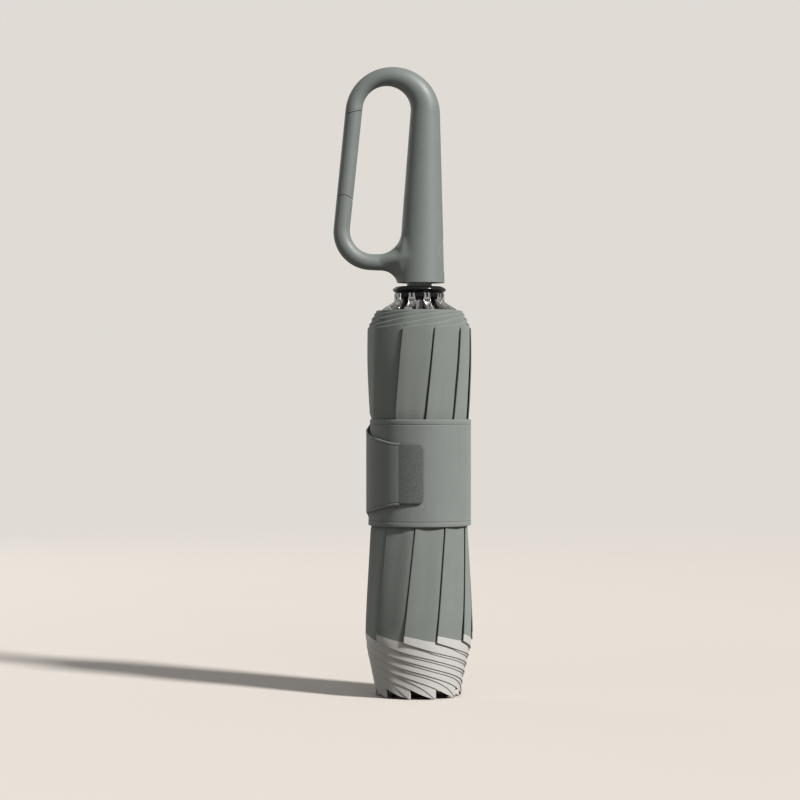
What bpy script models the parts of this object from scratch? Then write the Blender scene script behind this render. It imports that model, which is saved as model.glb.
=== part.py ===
"""A closed windproof umbrella with a ring handle, standing on its rib tips.

Units are metres and +Z is up. The shaft's axis is X = Y = 0, and Z = 0 is the plane
that the rib tips and the crown cap stand on. The ring handle is at the top and
reaches towards -X. Turns round the shaft are measured from the front, -Y, towards +X.
"""

from math import asin, atan2, ceil, cos, hypot, pi, radians, sin

import bmesh
import bpy
from mathutils import Matrix, Vector

# Clearances
GAP = 0.0003
SEWN_GAP = 0.00012
RUNNING_GAP = 0.0003

# Edges sharper than this, in degrees, stay sharp in the shading
SMOOTH_ANGLE = 35

# Shaft tubes, from the innermost, which carries the crown, to the outermost, in the grip
INNER_TUBE_RADIUS = 0.0036
TUBE_WALL = 0.0004
INNER_TUBE_BOTTOM = 0.0075
INNER_TUBE_TOP = 0.214
MIDDLE_TUBE_BOTTOM = 0.024
MIDDLE_TUBE_TOP = 0.224
OUTER_TUBE_BOTTOM = 0.040
TUBE_SIDES = 24

# Canopy bundle: ten flaps wound round the ribs. Its profile gives the layers' thickness by height.
RIB_COUNT = 10
FLAP_STEP = 2 * pi / RIB_COUNT
FOLD_TURN = radians(-17.7)
FOLD_TURN_HEIGHT = 0.0277
FOLD_TWIST = radians(0.223) / 0.001
LAYER_DROP = 0.00102
BUNDLE_PROFILE = (
    (0.0285, 0.0063), (0.048, 0.0056), (0.063, 0.0048), (0.080, 0.0041), (0.112, 0.0045),
    (0.138, 0.0045), (0.147, 0.0049), (0.168, 0.0056), (0.184, 0.0053),
)
SLEEVE_CLEARANCE = 0.0005
SLEEVE_FOOT_DROP = 0.0019
SLEEVE_STEP = 0.0003
CORNER_HEIGHT = 0.0285
RIM_WRAPS = 6
FOLD_TOP = 0.184
TOP_RISE = 0.0025
TOP_WRAPS = 3
TRIM_WIDTH = 0.0035
FLAP_FACETS = 3

# Strap round the canopy, with its tab towards the front
STRAP_BOTTOM = 0.0851
STRAP_TOP = 0.1385
STRAP_THICKNESS = 0.0009
STRAP_SLACK = 0.00035
STRAP_SIDES = 60
STITCH_INSET = 0.0025
STITCH_WIDTH = 0.0005
STITCH_DEPTH = 0.0003
PAD_THICKNESS = 0.0003
TAB_THICKNESS = 0.0010
TAB_ROOT_TURN = radians(-90)
TAB_END_TURN = radians(-22.5)
TAB_ROOT_HEIGHTS = (0.0911, 0.1336)
TAB_END_HEIGHTS = (0.0960, 0.1260)
TAB_HINGE_OUT = 0.0005
PATCH_THICKNESS = 0.0011
PATCH_END_TURN = radians(5)
PATCH_CORNER = 0.003
PAD_INSET = 0.0015

# Runner, just below the handle
RUNNER_DROP = 0.0017
RUNNER_CAP_OVERHANG = 0.0009
RUNNER_CAP_HEIGHT = 0.0035
RUNNER_CAP_PROFILE = (
    (0.0012, 0.0), (0.0003, 0.25), (0.0, 0.48), (0.0004, 0.72), (0.0014, 0.92), (0.0026, 1.0),
)
RUNNER_CAP_SIDES = 40
HUB_RADIUS = 0.0072
HUB_LENGTH = 0.0151
FIN_LENGTH = 0.0021
FIN_SLOPE = 0.0004
FIN_THICKNESS = 0.0012
WIRE_RING_DEPTH = 0.0012
WIRE_RADIUS = 0.00035

# Crown, at the far end of the shaft
CAP_RADIUS = 0.0092
CAP_HEIGHT = 0.0045
CAP_EDGE = 0.0008
CAP_SIDES = 30
SPIGOT_RADIUS = 0.0027
SPIGOT_TOP = 0.0125
CROWN_TOP = 0.0165
CROWN_RADIUS = 0.0062
CROWN_FIN_RADIUS = 0.0098
CROWN_FOOT = 0.0012
CROWN_FIN_TOP = 0.0125

# Ribs, as distances from the axis against heights at each one's outer face
RIB_WIDTH = 0.0030
RIB_WALL = 0.0006
STRETCHER_DEPTH = 0.0020
STRETCHER_BOTTOM = 0.100
STRETCHER_CLEARANCE = 0.0015
FORK_RADIUS = 0.0125
BOW_HEIGHTS = (0.1970, 0.1953, 0.1929, 0.1905, 0.1870)
BOW_SHARES = (0, 0.274, 0.7945, 0.9726, 1)
INNER_RIB_WIDTH = 0.0026
INNER_RIB_DEPTH = 0.0018
INNER_RIB_WALL = 0.0004
FORK_OVERCUT = 0.0015
INNER_RIB_RADIUS = 0.0138
INNER_RIB_FOOT_RADIUS = 0.0104
INNER_RIB_PATH = (
    (INNER_RIB_RADIUS, 0.188), (INNER_RIB_RADIUS, 0.0975), (0.0134, 0.019),
    (INNER_RIB_FOOT_RADIUS, 0.011), (INNER_RIB_FOOT_RADIUS, 0.007),
)
OUTER_RIB_TOP = 0.189
OUTER_RIB_BEND = 0.096
OUTER_RIB_RADIUS = 0.0011
OUTER_RIB_SIDES = 8
TIP_RADIUS = 0.0015
TIP_LENGTH = 0.008
TIP_LIFT = 0.0004
TIP_CHAMFER = 0.0010
TIP_END_RADIUS = 0.0009

# Ring handle: the outlines of its arch and of its lower loop, as centres (x, z) and radii.
# The heights that aren't outlines are rises over the grip's bottom, the loop or each other.
GRIP_BOTTOM = 0.2066
GRIP_FRONT_X = 0.0125
GRIP_BACK_X = -0.0110
GRIP_DEPTH_SHARE = 0.92
ARCH_OUTER = ((-0.01375, 0.29065), 0.0235)
ARCH_INNER = ((-0.0170, 0.29215), 0.0125)
LOOP_OUTER = ((-0.02425, 0.23165), 0.0190)
LOOP_INNER = ((-0.0240, 0.23165), 0.01125)
ROOT_FILLET = ((-0.0190, 0.2035), 0.0090)
ROOT_INNER = ((-0.0189, 0.2304), 0.0100)
ROOT_STATIONS = (
    (90, 272, 0.0039), (76, 292, 0.0040), (62, 310, 0.0043), (50, 325, 0.0047), (38, 339, 0.0053),
    (26, 352, 0.0058),
)
ROOT_INSIDE = ((-0.0055, 0.2069), (-0.0055, 0.2335), 0.0080)
GRIP_STATIONS = (0.02, 0.3, 0.6, 0.85)
GRIP_EDGE = 0.0006
ARCH_STEPS = 12
ARCH_OVERRUN = 0.12
LOOP_STEPS = 8
LOOP_START_SHARE = 0.55
SECTION_SIDES = 20

# Gate in the ring's long side, with its hinge at the lower end
GATE_TOP_CENTRE = (-0.0331, 0.2916)
GATE_TOP_SLOPE = 0.255
GATE_STATIONS = (-0.03, 0.25, 0.5, 0.82)
SEAM_HALF_LENGTH = 0.0085
SEAM_CUT_HEIGHT = 0.0136
RING_CUT_DEPTH = 0.0060
HINGE_RISE = 0.01295
HINGE_RADIUS = 0.0059
TONGUE_RADIUS = 0.0026
TONGUE_THICKNESS = 0.0026
TONGUE_LENGTH = 0.0099
TONGUE_SLOT_REACH = 0.0090
GATE_PIN_RADIUS = 0.0010
GATE_PIN_HALF_LENGTH = 0.0029
GATE_SPRING_RADIUS = 0.0008
GATE_SPRING_WIRE = 0.00022
GATE_SPRING_TURNS = 6
GATE_SPRING_LENGTH = 0.0055
PLUNGER_LENGTH = 0.0020
PLUNGER_RADIUS = 0.0010

# Push button on the grip's +X side, and the latch plate that it moves
BUTTON_RISE = 0.0131
BUTTON_HALF_LENGTH = 0.0080
BUTTON_HALF_WIDTH = 0.0044
BUTTON_FACE_X = 0.0112
BUTTON_TRAVEL = 0.0016
BUTTON_BACK_X = 0.0084
CAVITY_RADIUS = 0.0084
CAVITY_HEADROOM = 0.0033
CAVITY_SHOULDER = 0.0020
OVERCUT = 0.0010
BUTTON_OPENING_X = 0.0060
LATCH_THICKNESS = 0.0012
LATCH_DROP = 0.0047
LATCH_RIM = 0.0010
BUTTON_SPRING_RISE = 0.0028
BUTTON_SPRING_RADIUS = 0.0016
BUTTON_SPRING_WIRE = 0.00018
BUTTON_SPRING_TURNS = 3
NECK_RADIUS = 0.0061
NECK_PLUG_LENGTH = 0.0030
TUBE_SOCKET = 0.0090
TUBE_PIN_DROP = 0.0040
TUBE_PIN_RADIUS = 0.0010
TUBE_PIN_HALF_LENGTH = 0.0074

# Drive spring inside the inner tube
DRIVE_SPRING_RADIUS = 0.0021
DRIVE_SPRING_WIRE = 0.00045
DRIVE_SPRING_TURNS = 14
DRIVE_SPRING_TOP = 0.205

OUTER_RIB_CENTRE = INNER_RIB_RADIUS + GAP + OUTER_RIB_RADIUS
STRETCHER_RADIUS = OUTER_RIB_CENTRE + OUTER_RIB_RADIUS + STRETCHER_CLEARANCE + STRETCHER_DEPTH
SLEEVE_RADIUS = STRETCHER_RADIUS + SLEEVE_CLEARANCE
SLEEVE_FOOT_RADIUS = SLEEVE_RADIUS - SLEEVE_FOOT_DROP
RUNNER_TOP = GRIP_BOTTOM - RUNNER_DROP
STRETCHER_TOP = RUNNER_TOP - RUNNER_CAP_HEIGHT - GAP
WIRE_HEIGHT = STRETCHER_TOP - WIRE_RADIUS
HUB_BOTTOM = STRETCHER_TOP - HUB_LENGTH
FIN_BOTTOM = STRETCHER_TOP - FIN_LENGTH
RUNNER_CAP_RADIUS = FORK_RADIUS + RUNNER_CAP_OVERHANG
FIN_RADIUS = FORK_RADIUS - GAP
WIRE_RING_RADIUS = FORK_RADIUS - WIRE_RING_DEPTH
HINGE_HEIGHT = LOOP_OUTER[0][1] + HINGE_RISE
BUTTON_HEIGHT = GRIP_BOTTOM + BUTTON_RISE
LATCH_HEIGHT = BUTTON_HEIGHT - LATCH_DROP
BUTTON_SPRING_HEIGHT = BUTTON_HEIGHT + BUTTON_SPRING_RISE
CAVITY_TOP = BUTTON_HEIGHT + BUTTON_HALF_LENGTH + CAVITY_HEADROOM
OUTER_TUBE_TOP = CAVITY_TOP + TUBE_SOCKET
TUBE_PIN_HEIGHT = OUTER_TUBE_TOP - TUBE_PIN_DROP
MIDDLE_TUBE_RADIUS = INNER_TUBE_RADIUS + RUNNING_GAP + TUBE_WALL
OUTER_TUBE_RADIUS = MIDDLE_TUBE_RADIUS + RUNNING_GAP + TUBE_WALL
SHAFT_BORE_RADIUS = OUTER_TUBE_RADIUS + RUNNING_GAP
STRAP_INNER_RADIUS = SLEEVE_RADIUS + max(layers for _, layers in BUNDLE_PROFILE[3:6]) + STRAP_SLACK
STRAP_OUTER_RADIUS = STRAP_INNER_RADIUS + STRAP_THICKNESS


def clear_scene():
    for obj in list(bpy.data.objects):
        bpy.data.objects.remove(obj, do_unlink=True)


def make_material(name, colour, roughness, metallic=0.0):
    """A Principled material of one colour, given as linear red, green and blue."""
    material = bpy.data.materials.new(name)
    material.use_nodes = True
    shader = material.node_tree.nodes["Principled BSDF"]
    shader.inputs["Base Color"].default_value = (*colour, 1.0)
    shader.inputs["Roughness"].default_value = roughness
    shader.inputs["Metallic"].default_value = metallic
    return material


def make_materials():
    return {
        "grip": make_material("soft_touch_plastic", (0.19, 0.22, 0.205), 0.55),
        "cloth": make_material("canopy_cloth", (0.18, 0.205, 0.185), 0.85),
        "trim": make_material("reflective_trim", (0.66, 0.66, 0.63), 0.45),
        "strap": make_material("strap_cloth", (0.17, 0.19, 0.175), 0.8),
        "patch": make_material("rubber_patch", (0.10, 0.11, 0.105), 0.7),
        "black": make_material("gloss_black_plastic", (0.008, 0.008, 0.009), 0.2),
        "steel": make_material("plated_steel", (0.62, 0.61, 0.59), 0.25, 1.0),
        "dark_steel": make_material("black_steel", (0.04, 0.04, 0.042), 0.4, 1.0),
        "fibre": make_material("glass_fibre", (0.05, 0.05, 0.05), 0.5),
        "hook": make_material("hook_and_loop", (0.03, 0.03, 0.03), 0.95),
    }


def new_object(name, mesh, material):
    mesh.materials.clear()
    mesh.materials.append(material)
    mesh.shade_smooth()
    mesh.set_sharp_from_angle(angle=radians(SMOOTH_ANGLE))
    obj = bpy.data.objects.new(name, mesh)
    bpy.context.scene.collection.objects.link(obj)
    return obj


def new_empty(name, location):
    """An empty on a joint's axis, which carries the pieces that move about it."""
    empty = bpy.data.objects.new(name, None)
    empty.location = location
    empty.empty_display_size = 0.01
    bpy.context.scene.collection.objects.link(empty)
    return empty


def hang_on(empty, *objects):
    """Parents objects whose meshes are in world places, and keeps them there."""
    for obj in objects:
        obj.parent = empty
        obj.matrix_parent_inverse = Matrix.Translation(-empty.location)


def polar(radius, turn, height):
    """The point at a turn from the front, -Y, towards +X."""
    return Vector((radius * sin(turn), -radius * cos(turn), height))


def mix(start, end, share):
    return start + (end - start) * share


def bridge(bm, lower, upper, shift=0):
    """Quads between two rings of vertices. The upper ring is read from the place shift."""
    count = len(lower)
    for i in range(count):
        j = (i + 1) % count
        bm.faces.new((lower[i], lower[j], upper[(j + shift) % count], upper[(i + shift) % count]))


def mesh_from(bm, name):
    bmesh.ops.recalc_face_normals(bm, faces=bm.faces[:])
    mesh = bpy.data.meshes.new(name)
    bm.to_mesh(mesh)
    bm.free()
    return mesh


def loft(name, rings, closed=False):
    """A solid through rings of points: closed joins the last to the first, or both ends get caps."""
    bm = bmesh.new()
    loops = [[bm.verts.new(point) for point in ring] for ring in rings]
    for lower, upper in zip(loops, loops[1:]):
        bridge(bm, lower, upper)
    if closed:
        bridge(bm, loops[-1], loops[0])
    else:
        bm.faces.new(loops[0])
        bm.faces.new(loops[-1])
    return mesh_from(bm, name)


def lathe(name, profile, sides, closed=True):
    """Turns a profile of (radius, height) points round the shaft's axis."""
    turns = [2 * pi * i / sides for i in range(sides)]
    return loft(name, [[polar(r, turn, z) for turn in turns] for r, z in profile], closed)


def tube_mesh(name, outer, inner, bottom, top, sides=TUBE_SIDES):
    return lathe(name, ((outer, bottom), (outer, top), (inner, top), (inner, bottom)), sides)


def bar(name, start, end, radius, sides):
    """A round bar between two points."""
    start = Vector(start)
    along = Vector(end) - start
    frame = along.to_track_quat("Z", "Y").to_matrix()
    rings = []
    for share in (0, 1):
        ring = []
        for i in range(sides):
            turn = 2 * pi * i / sides
            ring.append(start + along * share + frame @ Vector((radius * cos(turn), radius * sin(turn), 0)))
        rings.append(ring)
    return loft(name, rings)


def prism(name, outline, across, half_depth):
    """Extrudes an outline of (u, v) points both ways from a plane whose frame is the matrix across."""
    rings = []
    for side in (-half_depth, half_depth):
        rings.append([across @ Vector((u, side, v)) for u, v in outline])
    return loft(name, rings)


def coil(name, radius, wire, turns, start, end, points_per_turn=8):
    """A compression spring as a curve with a bevel, wound from start to end."""
    start = Vector(start)
    along = Vector(end) - start
    frame = along.to_track_quat("Z", "Y").to_matrix()
    curve = bpy.data.curves.new(name, "CURVE")
    curve.dimensions = "3D"
    curve.bevel_depth = wire
    curve.bevel_resolution = 0
    curve.use_fill_caps = True
    spline = curve.splines.new("POLY")
    count = turns * points_per_turn + 1
    spline.points.add(count - 1)
    travel = along.length - 2 * wire
    for i, point in enumerate(spline.points):
        turn = 2 * pi * i / points_per_turn
        step = Vector((radius * cos(turn), radius * sin(turn), wire + travel * i / (count - 1)))
        point.co = (*(start + frame @ step), 1.0)
    pitch = travel / turns
    print(f"{name}: least gap between turns {(pitch - 2 * wire) * 1000:.2f} mm")
    return curve


def coil_object(name, material, *sizes):
    curve = coil(name, *sizes)
    curve.materials.append(material)
    obj = bpy.data.objects.new(name, curve)
    bpy.context.scene.collection.objects.link(obj)
    return obj


def boolean(obj, mesh, operation="DIFFERENCE"):
    """Adds a Boolean modifier whose cutter is hidden from the render."""
    mesh.shade_smooth()
    mesh.set_sharp_from_angle(angle=radians(SMOOTH_ANGLE))
    tool = bpy.data.objects.new(f"{obj.name}_{operation.lower()}_{len(obj.modifiers)}", mesh)
    tool.hide_render = True
    tool.display_type = "WIRE"
    bpy.context.scene.collection.objects.link(tool)
    modifier = obj.modifiers.new(operation.title(), "BOOLEAN")
    modifier.operation = operation
    modifier.solver = "EXACT"
    modifier.object = tool


def baked(obj):
    """The object's mesh with its modifiers applied. The object and its cutters go."""
    graph = bpy.context.evaluated_depsgraph_get()
    mesh = bpy.data.meshes.new_from_object(obj.evaluated_get(graph))
    for modifier in obj.modifiers:
        bpy.data.objects.remove(modifier.object, do_unlink=True)
    bpy.data.objects.remove(obj, do_unlink=True)
    return mesh


# Canopy bundle


def bundle_radius(height):
    """The bundle's outer radius at a height, from its profile."""
    lowest, layers = BUNDLE_PROFILE[0]
    if height <= lowest:
        return SLEEVE_RADIUS + layers
    for (z0, thin), (z1, thick) in zip(BUNDLE_PROFILE, BUNDLE_PROFILE[1:]):
        if height <= z1:
            return SLEEVE_RADIUS + mix(thin, thick, (height - z0) / (z1 - z0))
    return SLEEVE_RADIUS + BUNDLE_PROFILE[-1][1]


def wraps_hidden(height):
    """How many flap steps of the outer layers have already ended at this height."""
    if height < CORNER_HEIGHT:
        return RIM_WRAPS * (1 - height / CORNER_HEIGHT)
    return max(0.0, (height - FOLD_TOP) / TOP_RISE)


def fold_turn(flap, height):
    return FOLD_TURN + flap * FLAP_STEP + FOLD_TWIST * (height - FOLD_TURN_HEIGHT)


def flap_point(flap, share, height, turn_by=0.0):
    """A point of a flap's visible face: share runs from its own edge to the next flap's."""
    steps = wraps_hidden(height) + share
    return polar(
        bundle_radius(height) - LAYER_DROP * steps,
        fold_turn(flap, height) + steps * FLAP_STEP + turn_by,
        height,
    )


def flap_shares():
    return [(flap, i / FLAP_FACETS) for flap in range(RIB_COUNT) for i in range(FLAP_FACETS + 1)]


def flap_ring(left, right, turn_by=0.0):
    """A ring over all flaps, whose height runs from left to right across each one."""
    return [flap_point(flap, share, mix(left, right, share), turn_by) for flap, share in flap_shares()]


def rim_ring(turn_by):
    """The lowest ring, along each flap's rim from one wrap before its tip down to the tip."""
    rise = CORNER_HEIGHT / RIM_WRAPS
    ring = []
    for flap, share in flap_shares():
        steps = RIM_WRAPS - 1 + share
        radius = bundle_radius(0) - LAYER_DROP * steps
        ring.append(polar(radius, fold_turn(flap, 0) + steps * FLAP_STEP + turn_by, rise * (1 - share)))
    return ring


def sleeve_ring(left, right, radius, turn):
    """A ring of the inner face, whose columns stand upright."""
    return [
        polar(radius - SLEEVE_STEP * share, turn + (flap + share) * FLAP_STEP, mix(left, right, share))
        for flap, share in flap_shares()
    ]


def flaps_between(outer_turn, inner_turn):
    """How many flaps the inner ring is read further on, so that both start at one place."""
    return round((outer_turn - inner_turn) / FLAP_STEP)


def wound_shell(name, outer, inner, bottom_shift, top_shift):
    """Joins outer rings, lowest first, to an upright inner face at the bottom and the top."""
    bm = bmesh.new()
    outer_loops = [[bm.verts.new(point) for point in ring] for ring in outer]
    inner_loops = [[bm.verts.new(point) for point in ring] for ring in inner]
    for loops in (outer_loops, inner_loops):
        for lower, upper in zip(loops, loops[1:]):
            bridge(bm, lower, upper)
    columns = FLAP_FACETS + 1
    bridge(bm, outer_loops[0], inner_loops[0], bottom_shift * columns)
    bridge(bm, outer_loops[-1], inner_loops[-1], top_shift * columns)
    return mesh_from(bm, name)


def rows_between(start, end, count):
    return [mix(start, end, i / count) for i in range(count + 1)]


def canopy_mesh():
    """The wound cloth above the trim, with its flaps' edges and their stepped top."""
    seam = GAP / 2
    low_left = CORNER_HEIGHT + TRIM_WIDTH + seam
    low_right = CORNER_HEIGHT + seam
    outer = [flap_ring(low_left, low_right), flap_ring(low_left + 0.003, low_left + 0.003)]
    heights = [z for z, _ in BUNDLE_PROFILE[1:]]
    heights += rows_between(FOLD_TOP, FOLD_TOP + TOP_WRAPS * TOP_RISE, 2 * TOP_WRAPS)[1:]
    outer += [flap_ring(z, z) for z in heights]
    top = heights[-1]
    turn = fold_turn(0, CORNER_HEIGHT)
    inner = [
        sleeve_ring(low_left, low_right, SLEEVE_RADIUS, turn),
        sleeve_ring(STRAP_BOTTOM, STRAP_BOTTOM, SLEEVE_RADIUS, turn),
        sleeve_ring(top, top, SLEEVE_RADIUS, turn),
    ]
    top_turn = fold_turn(0, top) + TOP_WRAPS * FLAP_STEP
    return wound_shell("canopy", outer, inner, 0, flaps_between(top_turn, turn))


def trim_mesh():
    """The reflective rims of the flaps, which end one after another down to the tips."""
    seam = GAP / 2
    turn_by = GAP / bundle_radius(0)
    top_left = CORNER_HEIGHT + TRIM_WIDTH - seam
    top_right = CORNER_HEIGHT - seam
    rise = CORNER_HEIGHT / RIM_WRAPS
    heights = [CORNER_HEIGHT - rise * i / 2 for i in range(2 * RIM_WRAPS - 3, 0, -1)]
    outer = [rim_ring(turn_by)]
    outer += [flap_ring(z, z, turn_by) for z in heights]
    outer.append(flap_ring(CORNER_HEIGHT - seam, CORNER_HEIGHT - seam - rise / 8, turn_by))
    outer.append(flap_ring(top_left, top_right, turn_by))
    turn = fold_turn(0, CORNER_HEIGHT) + turn_by
    inner = [
        sleeve_ring(rise, 0, SLEEVE_FOOT_RADIUS, turn),
        sleeve_ring(top_left, top_right, SLEEVE_RADIUS, turn),
    ]
    foot_turn = fold_turn(0, 0) + turn_by + (RIM_WRAPS - 1) * FLAP_STEP
    return wound_shell("canopy_trim", outer, inner, flaps_between(foot_turn, turn), 0)


# Strap


def strap_mesh():
    """The band, with a stitched groove inside each edge."""
    groove_radius = STRAP_OUTER_RADIUS - STITCH_DEPTH
    profile = [(STRAP_INNER_RADIUS, STRAP_BOTTOM), (STRAP_OUTER_RADIUS, STRAP_BOTTOM)]
    low = STRAP_BOTTOM + STITCH_INSET
    high = STRAP_TOP - STITCH_INSET - STITCH_WIDTH
    for start in (low, high):
        end = start + STITCH_WIDTH
        profile += [
            (STRAP_OUTER_RADIUS, start), (groove_radius, start),
            (groove_radius, end), (STRAP_OUTER_RADIUS, end),
        ]
    profile += [(STRAP_OUTER_RADIUS, STRAP_TOP), (STRAP_INNER_RADIUS, STRAP_TOP)]
    return lathe("strap_band", profile, STRAP_SIDES)


def curved_plate(name, inner, outer, sections):
    """A plate bent round the shaft, through sections of (turn, bottom, top)."""
    rings = []
    for turn, bottom, top in sections:
        corners = ((inner, bottom), (outer, bottom), (outer, top), (inner, top))
        rings.append([polar(radius, turn, z) for radius, z in corners])
    return loft(name, rings)


def even_turns(start, end, step=radians(6)):
    count = max(1, ceil(abs(end - start) / step))
    return rows_between(start, end, count)


def tab_mesh(inner):
    sections = []
    for turn in even_turns(TAB_ROOT_TURN, TAB_END_TURN):
        share = (turn - TAB_ROOT_TURN) / (TAB_END_TURN - TAB_ROOT_TURN)
        eased = share * share * (3 - 2 * share)
        bottom = mix(TAB_ROOT_HEIGHTS[0], TAB_END_HEIGHTS[0], eased)
        top = mix(TAB_ROOT_HEIGHTS[1], TAB_END_HEIGHTS[1], eased)
        sections.append((turn, bottom, top))
    return curved_plate("strap_tab", inner, inner + TAB_THICKNESS, sections)


def patch_mesh(inner):
    """The moulded patch, whose far corners are rounded."""
    start = TAB_END_TURN + GAP / inner
    bottom, top = TAB_END_HEIGHTS
    sections = [(turn, bottom, top) for turn in even_turns(start, PATCH_END_TURN - PATCH_CORNER / inner)]
    for i in range(1, 5):
        turn = i * pi / 10
        drop = PATCH_CORNER * (1 - cos(turn))
        sections.append((PATCH_END_TURN - PATCH_CORNER * (1 - sin(turn)) / inner, bottom + drop, top - drop))
    return curved_plate("strap_patch", inner, inner + PATCH_THICKNESS, sections)


def pad_mesh(name, inner):
    start = TAB_END_TURN + PAD_INSET / inner
    end = PATCH_END_TURN - PAD_INSET / inner
    bottom = TAB_END_HEIGHTS[0] + PAD_INSET
    top = TAB_END_HEIGHTS[1] - PAD_INSET
    sections = [(turn, bottom, top) for turn in even_turns(start, end)]
    return curved_plate(name, inner, inner + PAD_THICKNESS, sections)


def make_strap(materials):
    loop_radius = STRAP_OUTER_RADIUS + SEWN_GAP
    hook_radius = loop_radius + PAD_THICKNESS + SEWN_GAP
    patch_radius = hook_radius + PAD_THICKNESS + SEWN_GAP
    tab_radius = STRAP_OUTER_RADIUS + GAP
    hinge = new_empty("strap_tab_hinge", polar(tab_radius + TAB_HINGE_OUT, TAB_ROOT_TURN, STRAP_BOTTOM))
    new_object("strap_band", strap_mesh(), materials["strap"])
    new_object("loop_pad", pad_mesh("loop_pad", loop_radius), materials["hook"])
    hook_pad = new_object("hook_pad", pad_mesh("hook_pad", hook_radius), materials["hook"])
    tab = new_object("strap_tab", tab_mesh(tab_radius), materials["strap"])
    patch = new_object("strap_patch", patch_mesh(patch_radius), materials["patch"])
    hang_on(hinge, hook_pad, tab, patch)


# Runner and crown


def fin_ring(radius, fin_radius, fin_thickness, height):
    """A round ring with one fin at each rib. Four points make each fin."""
    ring = []
    for i in range(RIB_COUNT):
        middle = (i + 0.5) * FLAP_STEP
        foot = fin_thickness / 2 / radius
        tip = fin_thickness / 2 / fin_radius
        ring.append(polar(radius, middle - foot, height))
        ring.append(polar(fin_radius, middle - tip, height))
        ring.append(polar(fin_radius, middle + tip, height))
        ring.append(polar(radius, middle + foot, height))
    return ring


def round_ring(radius, height, fin_radius, fin_thickness):
    """A plain ring with its points at the same turns as a ring with fins."""
    pattern = fin_ring(radius, fin_radius, fin_thickness, height)
    return [polar(radius, atan2(p.x, -p.y), height) for p in pattern]


def finned_sleeve(name, bore, radius, fin_radius, bottom, fin_bottom, fin_top, top):
    """A sleeve with one fin at each rib, which the rib's fork straddles."""
    fins = (fin_radius, FIN_THICKNESS)
    rings = [
        round_ring(bore, bottom, *fins),
        round_ring(radius, bottom, *fins),
        round_ring(radius, fin_bottom, *fins),
        fin_ring(radius + FIN_SLOPE, *fins, fin_bottom + FIN_SLOPE),
        fin_ring(radius + FIN_SLOPE, *fins, fin_top),
        round_ring(radius, fin_top + FIN_SLOPE, *fins),
        round_ring(radius, top, *fins),
        round_ring(bore, top, *fins),
    ]
    return loft(name, rings, closed=True)


def runner_hub_mesh():
    fin_top = WIRE_HEIGHT - WIRE_RADIUS - GAP
    return finned_sleeve(
        "runner_hub", SHAFT_BORE_RADIUS, HUB_RADIUS, FIN_RADIUS,
        HUB_BOTTOM, FIN_BOTTOM, fin_top, STRETCHER_TOP,
    )


def runner_cap_mesh():
    """The bevelled disc that covers the tops of the stretchers."""
    bottom = RUNNER_TOP - RUNNER_CAP_HEIGHT
    profile = [(SHAFT_BORE_RADIUS, bottom)]
    for inset, share in RUNNER_CAP_PROFILE:
        profile.append((RUNNER_CAP_RADIUS - inset, mix(bottom, RUNNER_TOP, share)))
    profile.append((SHAFT_BORE_RADIUS, RUNNER_TOP))
    return lathe("runner_cap", profile, RUNNER_CAP_SIDES)


def wire_ring_mesh(name, radius, height, wire, around=30, across=6):
    rings = []
    for i in range(around):
        turn = 2 * pi * i / around
        ring = []
        for j in range(across):
            roll = 2 * pi * j / across
            ring.append(polar(radius + wire * cos(roll), turn, height + wire * sin(roll)))
        rings.append(ring)
    return loft(name, rings, closed=True)


def crown_mesh():
    bore = INNER_TUBE_RADIUS + GAP
    bottom = CAP_HEIGHT + GAP
    return finned_sleeve(
        "crown", bore, CROWN_RADIUS, CROWN_FIN_RADIUS, bottom, bottom + CROWN_FOOT, CROWN_FIN_TOP, CROWN_TOP,
    )


def crown_cap_mesh():
    """The cap under the crown, with a spigot up the inner tube."""
    profile = (
        (CAP_RADIUS - CAP_EDGE, 0.0),
        (CAP_RADIUS, CAP_EDGE),
        (CAP_RADIUS, CAP_HEIGHT - CAP_EDGE),
        (CAP_RADIUS - CAP_EDGE, CAP_HEIGHT),
        (SPIGOT_RADIUS, CAP_HEIGHT),
        (SPIGOT_RADIUS, SPIGOT_TOP),
    )
    return lathe("crown_cap", profile, CAP_SIDES, closed=False)


# Ribs


def path_frames(path):
    """For each (radius, height) point of a path, the point and its inward normal."""
    frames = []
    for i, (r, z) in enumerate(path):
        before = path[max(i - 1, 0)]
        after = path[min(i + 1, len(path) - 1)]
        along = Vector((after[0] - before[0], after[1] - before[1])).normalized()
        frames.append((Vector((r, z)), Vector((along.y, -along.x))))
    return frames


def channel_mesh(name, path, width, depth, wall):
    """A channel that opens outwards, along a path of its outer face, listed from the top down.

    It stands at the front, turn 0.
    """
    half = width / 2
    inside = half - wall
    section = (
        (-half, 0), (-inside, 0), (-inside, depth - wall), (inside, depth - wall),
        (inside, 0), (half, 0), (half, depth), (-half, depth),
    )
    rings = []
    for point, inward in path_frames(path):
        ring = []
        for across, deep in section:
            place = point + inward * deep
            ring.append(Vector((across, -place.x, place.y)))
        rings.append(ring)
    return loft(name, rings)


def cutter_box(name, across, near, far, bottom, top):
    """A box at the front, across both ways from the middle, between two distances from the axis."""
    outline = ((near, bottom), (far, bottom), (far, top), (near, top))
    rings = [[Vector((side, -r, z)) for r, z in outline] for side in (-across, across)]
    return loft(name, rings)


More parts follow.
